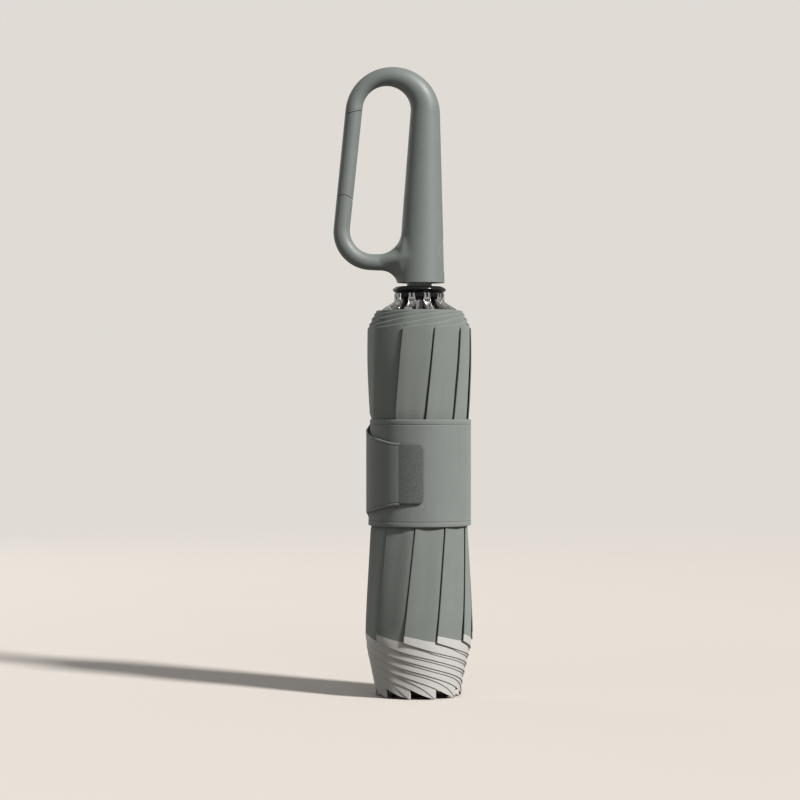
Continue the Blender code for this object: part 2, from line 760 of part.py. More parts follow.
def stretcher_mesh():
    """The plated bow whose fork holds the runner's wire, and its long channel down the bundle."""
    path = [(FORK_RADIUS, STRETCHER_TOP)]
    path += [(mix(FORK_RADIUS, STRETCHER_RADIUS, share), z) for share, z in zip(BOW_SHARES, BOW_HEIGHTS)]
    path.append((STRETCHER_RADIUS, mix(BOW_HEIGHTS[-1], STRETCHER_BOTTOM, 0.5)))
    path.append((STRETCHER_RADIUS, STRETCHER_BOTTOM))
    mesh = channel_mesh("stretcher", path, RIB_WIDTH, STRETCHER_DEPTH, RIB_WALL)
    obj = bpy.data.objects.new("stretcher", mesh)
    bpy.context.scene.collection.objects.link(obj)
    inside = RIB_WIDTH / 2 - RIB_WALL
    near = FORK_RADIUS - STRETCHER_DEPTH - FORK_OVERCUT
    far = FORK_RADIUS + FORK_OVERCUT
    boolean(obj, cutter_box("notch", inside, near, far, FIN_BOTTOM, STRETCHER_TOP + FORK_OVERCUT))
    slot = WIRE_RADIUS + GAP
    low = WIRE_HEIGHT - slot
    near = WIRE_RING_RADIUS - slot
    far = WIRE_RING_RADIUS + slot
    boolean(obj, cutter_box("hook", RIB_WIDTH, near, far, low, STRETCHER_TOP + FORK_OVERCUT))
    return baked(obj)


def inner_rib_mesh():
    """The inner channel, from the crown's fin up to the joint at the top of the bundle."""
    mesh = channel_mesh("inner_rib", INNER_RIB_PATH, INNER_RIB_WIDTH, INNER_RIB_DEPTH, INNER_RIB_WALL)
    obj = bpy.data.objects.new("inner_rib", mesh)
    bpy.context.scene.collection.objects.link(obj)
    inside = INNER_RIB_WIDTH / 2 - INNER_RIB_WALL
    near = INNER_RIB_FOOT_RADIUS - INNER_RIB_DEPTH - FORK_OVERCUT
    far = INNER_RIB_FOOT_RADIUS + FORK_OVERCUT
    low = INNER_RIB_PATH[-1][1] - FORK_OVERCUT
    boolean(obj, cutter_box("fork", inside, near, far, low, CROWN_FIN_TOP + FIN_SLOPE + GAP))
    return baked(obj)


def outer_rib_mesh():
    """The glass fibre rod from the top joint down to its moulded tip."""
    foot = SLEEVE_FOOT_RADIUS - SLEEVE_STEP - GAP - TIP_RADIUS
    tip_top = TIP_LIFT + TIP_LENGTH
    stations = (
        (OUTER_RIB_CENTRE, OUTER_RIB_TOP, OUTER_RIB_RADIUS),
        (OUTER_RIB_CENTRE, OUTER_RIB_BEND, OUTER_RIB_RADIUS),
        (foot, tip_top + TIP_CHAMFER, OUTER_RIB_RADIUS),
        (foot, tip_top, TIP_RADIUS),
        (foot, TIP_LIFT + TIP_CHAMFER, TIP_RADIUS),
        (foot, TIP_LIFT, TIP_END_RADIUS),
    )
    rings = []
    for radius, height, thick in stations:
        ring = []
        for i in range(OUTER_RIB_SIDES):
            turn = 2 * pi * (i + 0.5) / OUTER_RIB_SIDES
            ring.append(Vector((thick * sin(turn), -radius - thick * cos(turn), height)))
        rings.append(ring)
    return loft("outer_rib", rings)


def make_ribs(materials):
    """Ten sets of stretcher, inner rib and outer rib, which share their meshes."""
    kinds = (
        ("stretcher", stretcher_mesh(), materials["steel"]),
        ("inner_rib", inner_rib_mesh(), materials["dark_steel"]),
        ("outer_rib", outer_rib_mesh(), materials["fibre"]),
    )
    for kind, mesh, material in kinds:
        for i in range(RIB_COUNT):
            rib = new_object(f"{kind}_{i + 1:02d}", mesh, material)
            rib.rotation_euler = (0, 0, (i + 0.5) * FLAP_STEP)


# Handle


def arc_point(arc, turn):
    (x, z), radius = arc
    return Vector((x + radius * cos(turn), z + radius * sin(turn)))


def stem_tilt():
    """The angle by which the ring's long side leans, from the line that touches both outer arcs."""
    (x0, z0), r0 = ARCH_OUTER
    (x1, z1), r1 = LOOP_OUTER
    span = hypot(x0 - x1, z0 - z1)
    return atan2(x0 - x1, z0 - z1) - asin((r0 - r1) / span)


def section_ring(outer, inner, depth):
    """An oval section that spans from the inner outline to the outer one in the ring's plane."""
    centre = (outer + inner) / 2
    reach = (outer - inner) / 2
    ring = []
    for i in range(SECTION_SIDES):
        turn = 2 * pi * i / SECTION_SIDES
        place = centre + reach * cos(turn)
        ring.append(Vector((place.x, depth * sin(turn), place.y)))
    return ring


def grip_edge(share):
    """The grip's outer and inner points, from its bottom, 0, to the foot of the arch, 1."""
    bottom_outer = Vector((GRIP_FRONT_X, GRIP_BOTTOM))
    bottom_inner = Vector((GRIP_BACK_X, GRIP_BOTTOM))
    return (
        bottom_outer.lerp(arc_point(ARCH_OUTER, 0), share),
        bottom_inner.lerp(arc_point(ARCH_INNER, 0), share),
    )


def half_span(outer, inner):
    return (outer - inner).length / 2


def arch_mesh(end_turn):
    """The grip and the arch over it, down to just past the gate's upper end."""
    rings = []
    edge = Vector((GRIP_EDGE, 0))
    outer, inner = grip_edge(0)
    outer, inner = outer - edge, inner + edge
    rings.append(section_ring(outer, inner, half_span(outer, inner) * GRIP_DEPTH_SHARE))
    for share in GRIP_STATIONS:
        outer, inner = grip_edge(share)
        rings.append(section_ring(outer, inner, half_span(outer, inner) * GRIP_DEPTH_SHARE))
    for i in range(ARCH_STEPS + 1):
        turn = end_turn * i / ARCH_STEPS
        outer = arc_point(ARCH_OUTER, turn)
        inner = arc_point(ARCH_INNER, turn)
        depth_share = mix(GRIP_DEPTH_SHARE, 1.0, min(1.0, 2 * i / ARCH_STEPS))
        rings.append(section_ring(outer, inner, half_span(outer, inner) * depth_share))
    outer, inner = stem_section(ARCH_OVERRUN, end_turn)
    rings.append(section_ring(outer, inner, half_span(outer, inner)))
    return loft("arch", rings)


def stem_section(share, end_turn):
    """The ring's long side, from the arch, 0, to the loop, 1."""
    outer = arc_point(ARCH_OUTER, end_turn).lerp(arc_point(LOOP_OUTER, end_turn), share)
    inner = arc_point(ARCH_INNER, end_turn).lerp(arc_point(LOOP_INNER, end_turn), share)
    return outer, inner


def loop_mesh(end_turn):
    """The lower loop, from below the gate round to its flared root in the grip."""
    rings = []
    for share in (LOOP_START_SHARE, 1):
        outer, inner = stem_section(share, end_turn)
        rings.append(section_ring(outer, inner, half_span(outer, inner)))
    bottom_turn = 1.5 * pi
    for i in range(1, LOOP_STEPS + 1):
        turn = mix(end_turn, bottom_turn, i / LOOP_STEPS)
        outer = arc_point(LOOP_OUTER, turn)
        inner = arc_point(LOOP_INNER, turn)
        rings.append(section_ring(outer, inner, half_span(outer, inner)))
    for fillet_turn, inner_turn, depth in ROOT_STATIONS:
        outer = arc_point(ROOT_FILLET, radians(fillet_turn))
        inner = arc_point(ROOT_INNER, radians(inner_turn))
        rings.append(section_ring(outer, inner, depth))
    outer, inner, depth = ROOT_INSIDE
    rings.append(section_ring(Vector(outer), Vector(inner), depth))
    return loft("loop", rings)


def hinge_centre(end_turn):
    """The gate's pivot: the middle of the ring's long side at the hinge's height."""
    top_outer, top_inner = stem_section(0, end_turn)
    low_outer, low_inner = stem_section(1, end_turn)
    top = (top_outer + top_inner) / 2
    low = (low_outer + low_inner) / 2
    share = (HINGE_HEIGHT - low.y) / (top.y - low.y)
    return low.lerp(top, share)


def hinge_frame(centre, tilt):
    return Matrix.Translation((centre.x, 0, centre.y)) @ Matrix.Rotation(tilt, 4, "Y")


def arc_outline(radius, start, end, steps, centre=(0.0, 0.0)):
    points = []
    for i in range(steps + 1):
        turn = mix(start, end, i / steps)
        points.append((centre[0] + radius * cos(turn), centre[1] + radius * sin(turn)))
    return points


def seam_cutter(name, offset, side):
    """A block on one side of the gate's upper seam, moved by offset from the seam."""
    slope = atan2(GATE_TOP_SLOPE, 1)
    place = Matrix.Translation((GATE_TOP_CENTRE[0], 0, GATE_TOP_CENTRE[1]))
    frame = place @ Matrix.Rotation(-slope, 4, "Y")
    end = side * SEAM_CUT_HEIGHT
    half = SEAM_HALF_LENGTH
    outline = ((-half, offset), (half, offset), (half, end), (-half, end))
    return prism(name, outline, frame, RING_CUT_DEPTH)


def disc(name, frame, radius, half_depth, sides=16):
    """A round disc across the ring's plane, centred on the frame."""
    outline = [(radius * cos(2 * pi * i / sides), radius * sin(2 * pi * i / sides)) for i in range(sides)]
    return prism(name, outline, frame, half_depth)


def oval_bar(name, half_width, half_length, near, far, height, sides=28):
    """An oval bar along X, as the button and the opening for it."""
    rings = []
    for x in (near, far):
        ring = []
        for i in range(sides):
            turn = 2 * pi * i / sides
            ring.append(Vector((x, half_width * cos(turn), height + half_length * sin(turn))))
        rings.append(ring)
    return loft(name, rings)


def tongue_outline(radius, length):
    return arc_outline(radius, pi, 2 * pi, 10) + [(radius, length), (-radius, length)]


def slot_outline(radius, reach):
    """The gap for the tongue: round below the pin and open above it and towards the ring's inside."""
    return arc_outline(radius, pi, 2 * pi, 10) + [(reach, 0), (reach, reach), (-radius, reach)]


def spring_pocket(frame, radius, depth):
    start = frame @ Vector((0, 0, -TONGUE_RADIUS))
    end = frame @ Vector((0, 0, -TONGUE_RADIUS - GAP - depth))
    return bar("spring_pocket", start, end, radius, 12)


def make_handle_ring(materials, end_turn, frame):
    obj = new_object("ring", arch_mesh(end_turn), materials["grip"])
    boolean(obj, seam_cutter("seam_low", GAP / 2, -1))
    obj_loop = loop_mesh(end_turn)
    boolean(obj, obj_loop, "UNION")
    boolean(obj, prism("hinge_round", above_arc_block(), frame, RING_CUT_DEPTH))
    slot = slot_outline(TONGUE_RADIUS + GAP, TONGUE_SLOT_REACH)
    boolean(obj, prism("hinge_slot", slot, frame, TONGUE_THICKNESS / 2 + GAP))
    boolean(obj, disc("pin_hole", frame, GATE_PIN_RADIUS + GAP, GATE_PIN_HALF_LENGTH + GAP))
    depth = PLUNGER_LENGTH + GAP + GATE_SPRING_LENGTH + GAP
    boolean(obj, spring_pocket(frame, PLUNGER_RADIUS + GAP, depth))
    cavity = (
        (CAVITY_RADIUS, GRIP_BOTTOM - OVERCUT), (CAVITY_RADIUS, CAVITY_TOP),
        (SHAFT_BORE_RADIUS, CAVITY_TOP + CAVITY_SHOULDER), (SHAFT_BORE_RADIUS, OUTER_TUBE_TOP + GAP),
    )
    boolean(obj, lathe("cavity", cavity, TUBE_SIDES, closed=False))
    opening = oval_bar(
        "button_opening", BUTTON_HALF_WIDTH + GAP, BUTTON_HALF_LENGTH + GAP,
        BUTTON_OPENING_X, GRIP_FRONT_X + OVERCUT, BUTTON_HEIGHT,
    )
    boolean(obj, opening)
    pin_frame = Matrix.Translation((0, 0, TUBE_PIN_HEIGHT))
    boolean(obj, disc("tube_pin_hole", pin_frame, TUBE_PIN_RADIUS + GAP, TUBE_PIN_HALF_LENGTH + GAP))
    return new_object("handle_ring", baked(obj), materials["grip"])


def above_arc_block():
    """The outline that is cut away above the hinge's round end."""
    half = HINGE_RADIUS + GAP
    top = 3 * HINGE_RADIUS
    return arc_outline(HINGE_RADIUS, 0, pi, 20) + [(-half, 0), (-half, top), (half, top), (half, 0)]


def make_gate(materials, end_turn, frame):
    rings = []
    for share in GATE_STATIONS:
        outer, inner = stem_section(share, end_turn)
        rings.append(section_ring(outer, inner, half_span(outer, inner)))
    gate = new_object("gate_blank", loft("gate", rings), materials["grip"])
    boolean(gate, seam_cutter("seam_high", -GAP / 2, 1))
    boolean(gate, disc("gate_round", frame, HINGE_RADIUS + GAP, RING_CUT_DEPTH, 40))
    tongue = prism("tongue", tongue_outline(TONGUE_RADIUS, TONGUE_LENGTH), frame, TONGUE_THICKNESS / 2)
    boolean(gate, tongue, "UNION")
    boolean(gate, disc("gate_pin_hole", frame, GATE_PIN_RADIUS + GAP, TONGUE_THICKNESS))
    return new_object("gate", baked(gate), materials["grip"])


def latch_mesh():
    """The plate round the shaft that the button moves: its slot is as long as the travel."""
    inner = SHAFT_BORE_RADIUS
    outer = inner + LATCH_RIM
    nose = BUTTON_BACK_X - GAP
    moved = (BUTTON_TRAVEL, 0)
    hole = arc_outline(inner, pi / 2, 1.5 * pi, 12) + arc_outline(inner, -pi / 2, pi / 2, 12, moved)
    rim = arc_outline(outer, pi / 2, 1.5 * pi, 12) + arc_outline(outer, -pi / 2, pi / 2, 12, moved)
    rings = []
    low = LATCH_HEIGHT - LATCH_THICKNESS / 2
    high = LATCH_HEIGHT + LATCH_THICKNESS / 2
    for outline, z in ((rim, low), (rim, high), (hole, high), (hole, low)):
        rings.append([Vector((min(x, nose), y, z)) for x, y in outline])
    return loft("latch_plate", rings, closed=True)


def make_handle(materials):
    end_turn = pi - stem_tilt()
    centre = hinge_centre(end_turn)
    frame = hinge_frame(centre, stem_tilt())
    make_handle_ring(materials, end_turn, frame)
    gate = make_gate(materials, end_turn, frame)
    hang_on(new_empty("gate_hinge", (centre.x, 0, centre.y)), gate)
    pin = disc("gate_pin", frame, GATE_PIN_RADIUS, GATE_PIN_HALF_LENGTH, 12)
    new_object("gate_pin", pin, materials["steel"])
    foot = TONGUE_RADIUS + GAP
    plunger_top = frame @ Vector((0, 0, -foot))
    plunger_bottom = frame @ Vector((0, 0, -foot - PLUNGER_LENGTH))
    plunger = bar("gate_plunger", plunger_top, plunger_bottom, PLUNGER_RADIUS, 10)
    new_object("gate_plunger", plunger, materials["steel"])
    spring_top = foot + PLUNGER_LENGTH + GAP
    coil_object(
        "gate_spring", materials["steel"], GATE_SPRING_RADIUS, GATE_SPRING_WIRE, GATE_SPRING_TURNS,
        frame @ Vector((0, 0, -spring_top - GATE_SPRING_LENGTH)), frame @ Vector((0, 0, -spring_top)),
    )
    make_button(materials)
    make_neck(materials)


def make_button(materials):
    bar_mesh = oval_bar(
        "push_button", BUTTON_HALF_WIDTH, BUTTON_HALF_LENGTH, BUTTON_BACK_X, BUTTON_FACE_X, BUTTON_HEIGHT,
    )
    button = new_object("push_button", bar_mesh, materials["grip"])
    latch = new_object("latch_plate", latch_mesh(), materials["dark_steel"])
    hang_on(new_empty("button_slide", (BUTTON_BACK_X, 0, BUTTON_HEIGHT)), button, latch)
    coil_object(
        "button_spring", materials["steel"], BUTTON_SPRING_RADIUS, BUTTON_SPRING_WIRE, BUTTON_SPRING_TURNS,
        (OUTER_TUBE_RADIUS + GAP, 0, BUTTON_SPRING_HEIGHT), (BUTTON_BACK_X - GAP, 0, BUTTON_SPRING_HEIGHT),
    )


def make_neck(materials):
    """The collar that closes the grip's cavity and shows as a short neck above the runner."""
    plug_radius = CAVITY_RADIUS - GAP
    neck_bottom = RUNNER_TOP + GAP
    plug_bottom = GRIP_BOTTOM + GAP
    profile = (
        (SHAFT_BORE_RADIUS, neck_bottom), (NECK_RADIUS, neck_bottom), (NECK_RADIUS, plug_bottom),
        (plug_radius, plug_bottom), (plug_radius, plug_bottom + NECK_PLUG_LENGTH),
        (SHAFT_BORE_RADIUS, plug_bottom + NECK_PLUG_LENGTH),
    )
    new_object("neck_collar", lathe("neck_collar", profile, TUBE_SIDES), materials["grip"])


def make_shaft(materials):
    steel = materials["steel"]
    inner_bore = INNER_TUBE_RADIUS - TUBE_WALL
    inner = tube_mesh("inner_tube", INNER_TUBE_RADIUS, inner_bore, INNER_TUBE_BOTTOM, INNER_TUBE_TOP)
    new_object("inner_tube", inner, steel)
    middle_bore = MIDDLE_TUBE_RADIUS - TUBE_WALL
    middle = tube_mesh("middle_tube", MIDDLE_TUBE_RADIUS, middle_bore, MIDDLE_TUBE_BOTTOM, MIDDLE_TUBE_TOP)
    slide = new_empty("shaft_lower_slide", (0, 0, MIDDLE_TUBE_BOTTOM))
    hang_on(slide, new_object("middle_tube", middle, steel))
    outer_bore = OUTER_TUBE_RADIUS - TUBE_WALL
    outer_mesh = tube_mesh("outer_tube", OUTER_TUBE_RADIUS, outer_bore, OUTER_TUBE_BOTTOM, OUTER_TUBE_TOP)
    outer = new_object("outer_tube", outer_mesh, steel)
    pin_frame = Matrix.Translation((0, 0, TUBE_PIN_HEIGHT))
    boolean(outer, disc("outer_tube_hole", pin_frame, TUBE_PIN_RADIUS + GAP, OUTER_TUBE_RADIUS + OVERCUT, 12))
    new_object("tube_pin", disc("tube_pin", pin_frame, TUBE_PIN_RADIUS, TUBE_PIN_HALF_LENGTH, 12), steel)
    coil_object(
        "drive_spring", materials["steel"], DRIVE_SPRING_RADIUS, DRIVE_SPRING_WIRE, DRIVE_SPRING_TURNS,
        (0, 0, SPIGOT_TOP + GAP), (0, 0, DRIVE_SPRING_TOP),
    )


def make_hubs(materials):
    black = materials["black"]
    new_object("runner_cap", runner_cap_mesh(), black)
    new_object("runner_hub", runner_hub_mesh(), black)
    wire = wire_ring_mesh("runner_wire", WIRE_RING_RADIUS, WIRE_HEIGHT, WIRE_RADIUS)
    new_object("runner_wire", wire, materials["steel"])
    new_object("crown", crown_mesh(), black)
    new_object("crown_cap", crown_cap_mesh(), black)


def main():
    clear_scene()
    materials = make_materials()
    new_object("canopy", canopy_mesh(), materials["cloth"])
    new_object("canopy_trim", trim_mesh(), materials["trim"])
    make_strap(materials)
    make_hubs(materials)
    make_ribs(materials)
    make_shaft(materials)
    make_handle(materials)


main()
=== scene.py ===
"""The dressed model of the closed windproof umbrella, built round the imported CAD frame.

Units are metres in the frame's axes: +Z up the shaft, and the ring handle reaches towards -X.
Turns round the shaft are measured from the front, -Y, towards +X. A turn of one step, 36
degrees, leads from one flap of the wound canopy to the next. A named zone is a pair: where
a ramp starts and how wide it is.
"""

from math import asin, atan2, cos, hypot, pi, radians, sin

import bmesh
import bpy
import numpy as np
from mathutils import Matrix, Vector
from mathutils.bvhtree import BVHTree


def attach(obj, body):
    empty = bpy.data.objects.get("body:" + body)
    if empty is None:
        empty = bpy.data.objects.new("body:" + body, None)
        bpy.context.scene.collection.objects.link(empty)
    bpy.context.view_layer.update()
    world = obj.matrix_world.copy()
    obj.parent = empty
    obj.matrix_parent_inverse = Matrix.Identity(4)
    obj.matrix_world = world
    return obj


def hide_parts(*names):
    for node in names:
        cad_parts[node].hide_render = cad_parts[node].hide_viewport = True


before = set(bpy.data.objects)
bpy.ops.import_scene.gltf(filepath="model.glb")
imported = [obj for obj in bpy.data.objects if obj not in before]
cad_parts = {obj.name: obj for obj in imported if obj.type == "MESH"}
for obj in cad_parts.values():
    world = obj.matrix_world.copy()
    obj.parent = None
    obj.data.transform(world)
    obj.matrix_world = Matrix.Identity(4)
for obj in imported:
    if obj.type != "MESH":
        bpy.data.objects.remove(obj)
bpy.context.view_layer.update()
MM = 0.001

# Camera, lights and floor

CAMERA_PLACE = (-0.00965, -1.24, 0.1476)
CAMERA_LENS = 111.6
CAMERA_NEAR = 0.02
LIGHTS_AIM = Vector((0, 0, 0.15))
WARM = (1.0, 0.985, 0.965)
STUDIO_STRENGTH = 0.36
BACKDROP = (0.745, 0.708, 0.665)
FLOOR_PLAIN = 0.25
FLOOR_RADIUS = 6.0
FLOOR_FADE = (0.35, 2.2)
FLOOR_BOUNCE = 0.4

# Each light's name, kind, energy, turn and height in degrees, distance, colour and further settings
LIGHTS = (
    ("key", "SUN", 6.15, 52, 38, 3, WARM, {"angle": radians(7)}),
    ("softbox", "AREA", 1.5, 12, 35, 1.5, (0.99, 0.995, 1.0),
     {"shape": "RECTANGLE", "size": 0.35, "size_y": 0.9}),
    ("edge", "AREA", 3.5, -138, 10, 1.4, (0.99, 0.99, 1.0),
     {"shape": "RECTANGLE", "size": 0.9, "size_y": 1.2}),
)


def new_object(name, data):
    obj = bpy.data.objects.new(name, data)
    bpy.context.scene.collection.objects.link(obj)
    return obj


def add_camera():
    camera = new_object("camera", bpy.data.cameras.new("camera"))
    camera.location = CAMERA_PLACE
    camera.rotation_euler = (pi / 2, 0, 0)
    camera.data.lens = CAMERA_LENS
    camera.data.clip_start = CAMERA_NEAR
    bpy.context.scene.camera = camera


def add_lights():
    for name, kind, energy, turn, height, distance, colour, settings in LIGHTS:
        light = bpy.data.lights.new(name, kind)
        light.energy = energy
        light.color = colour
        for key, value in settings.items():
            setattr(light, key, value)
        outwards = polar(cos(radians(height)), radians(turn), sin(radians(height)))
        obj = new_object(name, light)
        obj.location = LIGHTS_AIM + outwards * distance
        obj.rotation_euler = outwards.to_track_quat("Z", "Y").to_euler()
    bpy.context.scene.view_settings.view_transform = "Standard"


def add_world():
    """A dim even studio that lights the object, and the plain backdrop that the camera sees."""
    world = bpy.data.worlds.new("world")
    world.use_nodes = True
    nodes, links = world.node_tree.nodes, world.node_tree.links
    studio = nodes["Background"]
    studio.inputs["Color"].default_value = (*WARM, 1)
    studio.inputs["Strength"].default_value = STUDIO_STRENGTH
    backdrop = nodes.new("ShaderNodeBackground")
    backdrop.inputs["Color"].default_value = (*BACKDROP, 1)
    blend = nodes.new("ShaderNodeMixShader")
    rays = nodes.new("ShaderNodeLightPath")
    links.new(rays.outputs["Is Camera Ray"], blend.inputs["Fac"])
    links.new(studio.outputs["Background"], blend.inputs[1])
    links.new(backdrop.outputs["Background"], blend.inputs[2])
    links.new(blend.outputs["Shader"], nodes["World Output"].inputs["Surface"])
    bpy.context.scene.world = world


def add_floor():
    """A pale floor that fades into the backdrop away from the object."""
    profile = [(0.1 * MM, 0.0), (FLOOR_PLAIN, 0.0), (FLOOR_RADIUS, 0.0)]
    lathe("floor", profile, 96, FLOOR, capped=False)


# Materials

CLOTH_UV = "cloth"
LATTICE_PITCH = 0.9 * MM


class Shader:
    """A Principled material and a short way to add nodes to it. Noise sizes and bump heights are in mm."""

    def __init__(self, name, colour, roughness, metallic=0.0, uv=None, **inputs):
        self.material = bpy.data.materials.new(name)
        self.material.use_nodes = True
        self.tree = self.material.node_tree
        self.principled = self.tree.nodes["Principled BSDF"]
        self.colour = colour
        self.uv = uv
        inputs.update(Base_Color=(*colour, 1), Roughness=roughness, Metallic=metallic)
        for key, value in inputs.items():
            self.principled.inputs[key.replace("_", " ")].default_value = value

    def node(self, kind, links=(), **settings):
        made = self.tree.nodes.new("ShaderNode" + kind)
        for key, value in settings.items():
            if hasattr(made, key):
                setattr(made, key, value)
            else:
                made.inputs[key.replace("_", " ")].default_value = value
        for name, source in dict(links).items():
            self.tree.links.new(source, made.inputs[name])
        return made

    def feed(self, name, source):
        self.tree.links.new(source, self.principled.inputs[name])

    def place(self):
        """Object coordinates, or those of the material's UV map, which is in metres."""
        if self.uv:
            return self.node("UVMap", uv_map=self.uv).outputs["UV"]
        return self.node("TexCoord").outputs["Object"]

    def noise(self, size, detail=2.0, rough=0.5, stretch=(1, 1, 1)):
        """Noise with features of about this size."""
        mapping = self.node("Mapping", {"Vector": self.place()}, Scale=stretch)
        return self.node("TexNoise", {"Vector": mapping.outputs["Vector"]}, Scale=1 / (size * MM),
                         Detail=detail, Roughness=rough).outputs["Fac"]

    def span(self, source, low, high, from_low=0.3, from_high=0.7, kind="LINEAR"):
        return self.node("MapRange", {"Value": source}, interpolation_type=kind, From_Min=from_low,
                         From_Max=from_high, To_Min=low, To_Max=high).outputs["Result"]

    def maths(self, operation, *values):
        made = self.node("Math", operation=operation)
        for i, value in enumerate(values):
            if isinstance(value, (int, float)):
                made.inputs[i].default_value = value
            else:
                self.tree.links.new(value, made.inputs[i])
        return made.outputs["Value"]

    def tint(self, source, low, high, from_low=0.3, from_high=0.7, base=None):
        """Darkens and lightens the base colour between two shares by a value."""
        share = self.span(source, low, high, from_low, from_high)
        made = self.node("VectorMath", {"Scale": share}, operation="SCALE")
        if base is None:
            made.inputs[0].default_value = self.colour
        else:
            self.tree.links.new(base, made.inputs[0])
        return made.outputs["Vector"]

    def bump(self, source, distance, strength, under=None):
        links = {"Height": source}
        if under is not None:
            links["Normal"] = under
        made = self.node("Bump", links, Distance=distance * MM, Strength=strength)
        self.feed("Normal", made.outputs["Normal"])
        return made.outputs["Normal"]

    def weave(self, pitch):
        """A plain weave's height, from 0 to 1."""
        apart = self.node("SeparateXYZ", {"Vector": self.place()})
        turns = [self.maths("MULTIPLY", apart.outputs[axis], 2 * pi / pitch) for axis in ("X", "Y")]
        product = self.maths("MULTIPLY", *[self.maths("SINE", turn) for turn in turns])
        return self.maths("MULTIPLY_ADD", product, 0.5, 0.5)


def grained(name, colour, roughness, tint, polish, relief, metallic=0.0, **inputs):
    """A material whose tint, roughness and relief each follow a noise, which is given before its limits."""
    s = Shader(name, colour, roughness, metallic, **inputs)
    s.feed("Base Color", s.tint(s.noise(*tint[0]), *tint[1:]))
    if polish:
        s.feed("Roughness", s.span(s.noise(*polish[0]), *polish[1:]))
    s.bump(s.noise(*relief[0]), *relief[1:])
    return s.material


def soft_touch(name, colour):
    """Matt soft-touch coat: an even grain, and slight polish where hands rub it."""
    return grained(name, colour, 0.5, ((14, 3), 0.965, 1.035), ((6, 4), 0.44, 0.56),
                   ((0.22, 2), 0.012, 0.5), Specular_IOR_Level=0.42)


def metal(name, colour, low, high, depth=0.01):
    """Drawn metal, with fine streaks along its length."""
    streaks = (0.5, 4, 0.6, (1, 1, 0.06))
    return grained(name, colour, (low + high) / 2, ((4, 3), 0.86, 1.06), (streaks, low, high),
                   (streaks, depth, 0.35), metallic=1.0)


def cloth(name, colour, pitch, mottle=0.05):
    """Woven cloth: its threads, faint streaks along the height and a broad mottle."""
    s = Shader(name, colour, 0.82, uv=CLOTH_UV, Sheen_Weight=0.3, Sheen_Roughness=0.5,
               Sheen_Tint=(0.8, 0.85, 0.82, 1), Specular_IOR_Level=0.3)
    threads = s.weave(pitch)
    streaked = s.tint(s.noise(3, 4, 0.6, (1, 0.08, 1)), 1 - mottle / 2, 1 + mottle / 2)
    mottled = s.tint(s.noise(16, 3), 1 - mottle, 1 + mottle, base=streaked)
    s.feed("Base Color", s.tint(threads, 0.94, 1.04, 0, 1, base=mottled))
    under = s.bump(s.noise(5, 3, 0.5, (1, 0.3, 1)), 0.25, 0.18)
    s.bump(threads, 0.05, 0.35, under)
    return s.material


def trim_tape(name, colour):
    """Retro-reflective tape: a fine slanted lattice pressed into a pale satin face."""
    s = Shader(name, colour, 0.5, uv=CLOTH_UV, Specular_IOR_Level=0.5, Sheen_Weight=0.5, Sheen_Roughness=0.4)
    across, along = s.node("SeparateXYZ", {"Vector": s.place()}).outputs[:2]
    both = []
    for sign in (1.0, -1.0):
        lean = s.maths("MULTIPLY_ADD", across, sign, along)
        wave = s.maths("SINE", s.maths("MULTIPLY", lean, 2 * pi / LATTICE_PITCH))
        both.append(s.maths("ABSOLUTE", wave))
    lattice = s.maths("MINIMUM", *both)
    base = s.tint(s.noise(9, 3), 0.96, 1.03)
    s.feed("Base Color", s.tint(lattice, 0.95, 1.0, 0.0, 0.35, base=base))
    s.feed("Roughness", s.span(s.noise(2, 3), 0.42, 0.58))
    s.bump(lattice, 0.03, 0.3)
    return s.material


def floor_paint(name):
    s = Shader(name, (0.50, 0.467, 0.432), 0.9, Specular_IOR_Level=0.1)
    mottle = s.span(s.noise(600, 3), 0.985, 1.015)
    seen = s.span(s.node("LightPath").outputs["Is Camera Ray"], FLOOR_BOUNCE, 1.0, 0.0, 1.0)
    s.feed("Base Color", s.tint(s.maths("MULTIPLY", mottle, seen), 0.0, 1.0, 0.0, 1.0))
    away = s.node("VectorMath", {0: s.place()}, operation="LENGTH").outputs["Value"]
    s.feed("Alpha", s.span(away, 1.0, 0.0, *FLOOR_FADE, "SMOOTHSTEP"))
    return s.material


RUBBER_GRAIN = (0.55, 3, 0.7)
FIBRE_STREAKS = (0.3, 3, 0.6, (1, 1, 0.03))
NAP = (0.35, 3, 0.7)

GRIP = soft_touch("soft_touch_plastic", (0.125, 0.140, 0.133))
BUTTON = soft_touch("soft_touch_button", (0.130, 0.146, 0.139))
CLOTH = cloth("canopy_cloth", (0.128, 0.141, 0.131), 0.42 * MM)
STRAP = cloth("strap_cloth", (0.132, 0.144, 0.137), 0.6 * MM, 0.04)
TRIM = trim_tape("reflective_trim", (0.355, 0.348, 0.332))
PATCH = grained("rubber_patch", (0.074, 0.082, 0.078), 0.75, (RUBBER_GRAIN, 0.72, 1.3, 0.35, 0.65),
                (RUBBER_GRAIN, 0.66, 0.86), (RUBBER_GRAIN, 0.06, 0.6), Specular_IOR_Level=0.35)
BLACK = grained("gloss_black_plastic", (0.005, 0.005, 0.006), 0.16, ((5, 2), 0.8, 1.4),
                ((2.2, 4), 0.12, 0.24), ((1.5, 2), 0.02, 0.15), Specular_IOR_Level=0.3)
STEEL = metal("plated_steel", (0.74, 0.73, 0.71), 0.13, 0.24, depth=0.004)
DARK_STEEL = metal("black_steel", (0.05, 0.05, 0.052), 0.3, 0.5)
FIBRE = grained("glass_fibre", (0.03, 0.03, 0.032), 0.45, (FIBRE_STREAKS, 0.6, 1.7),
                (FIBRE_STREAKS, 0.35, 0.6), (FIBRE_STREAKS, 0.03, 0.4))
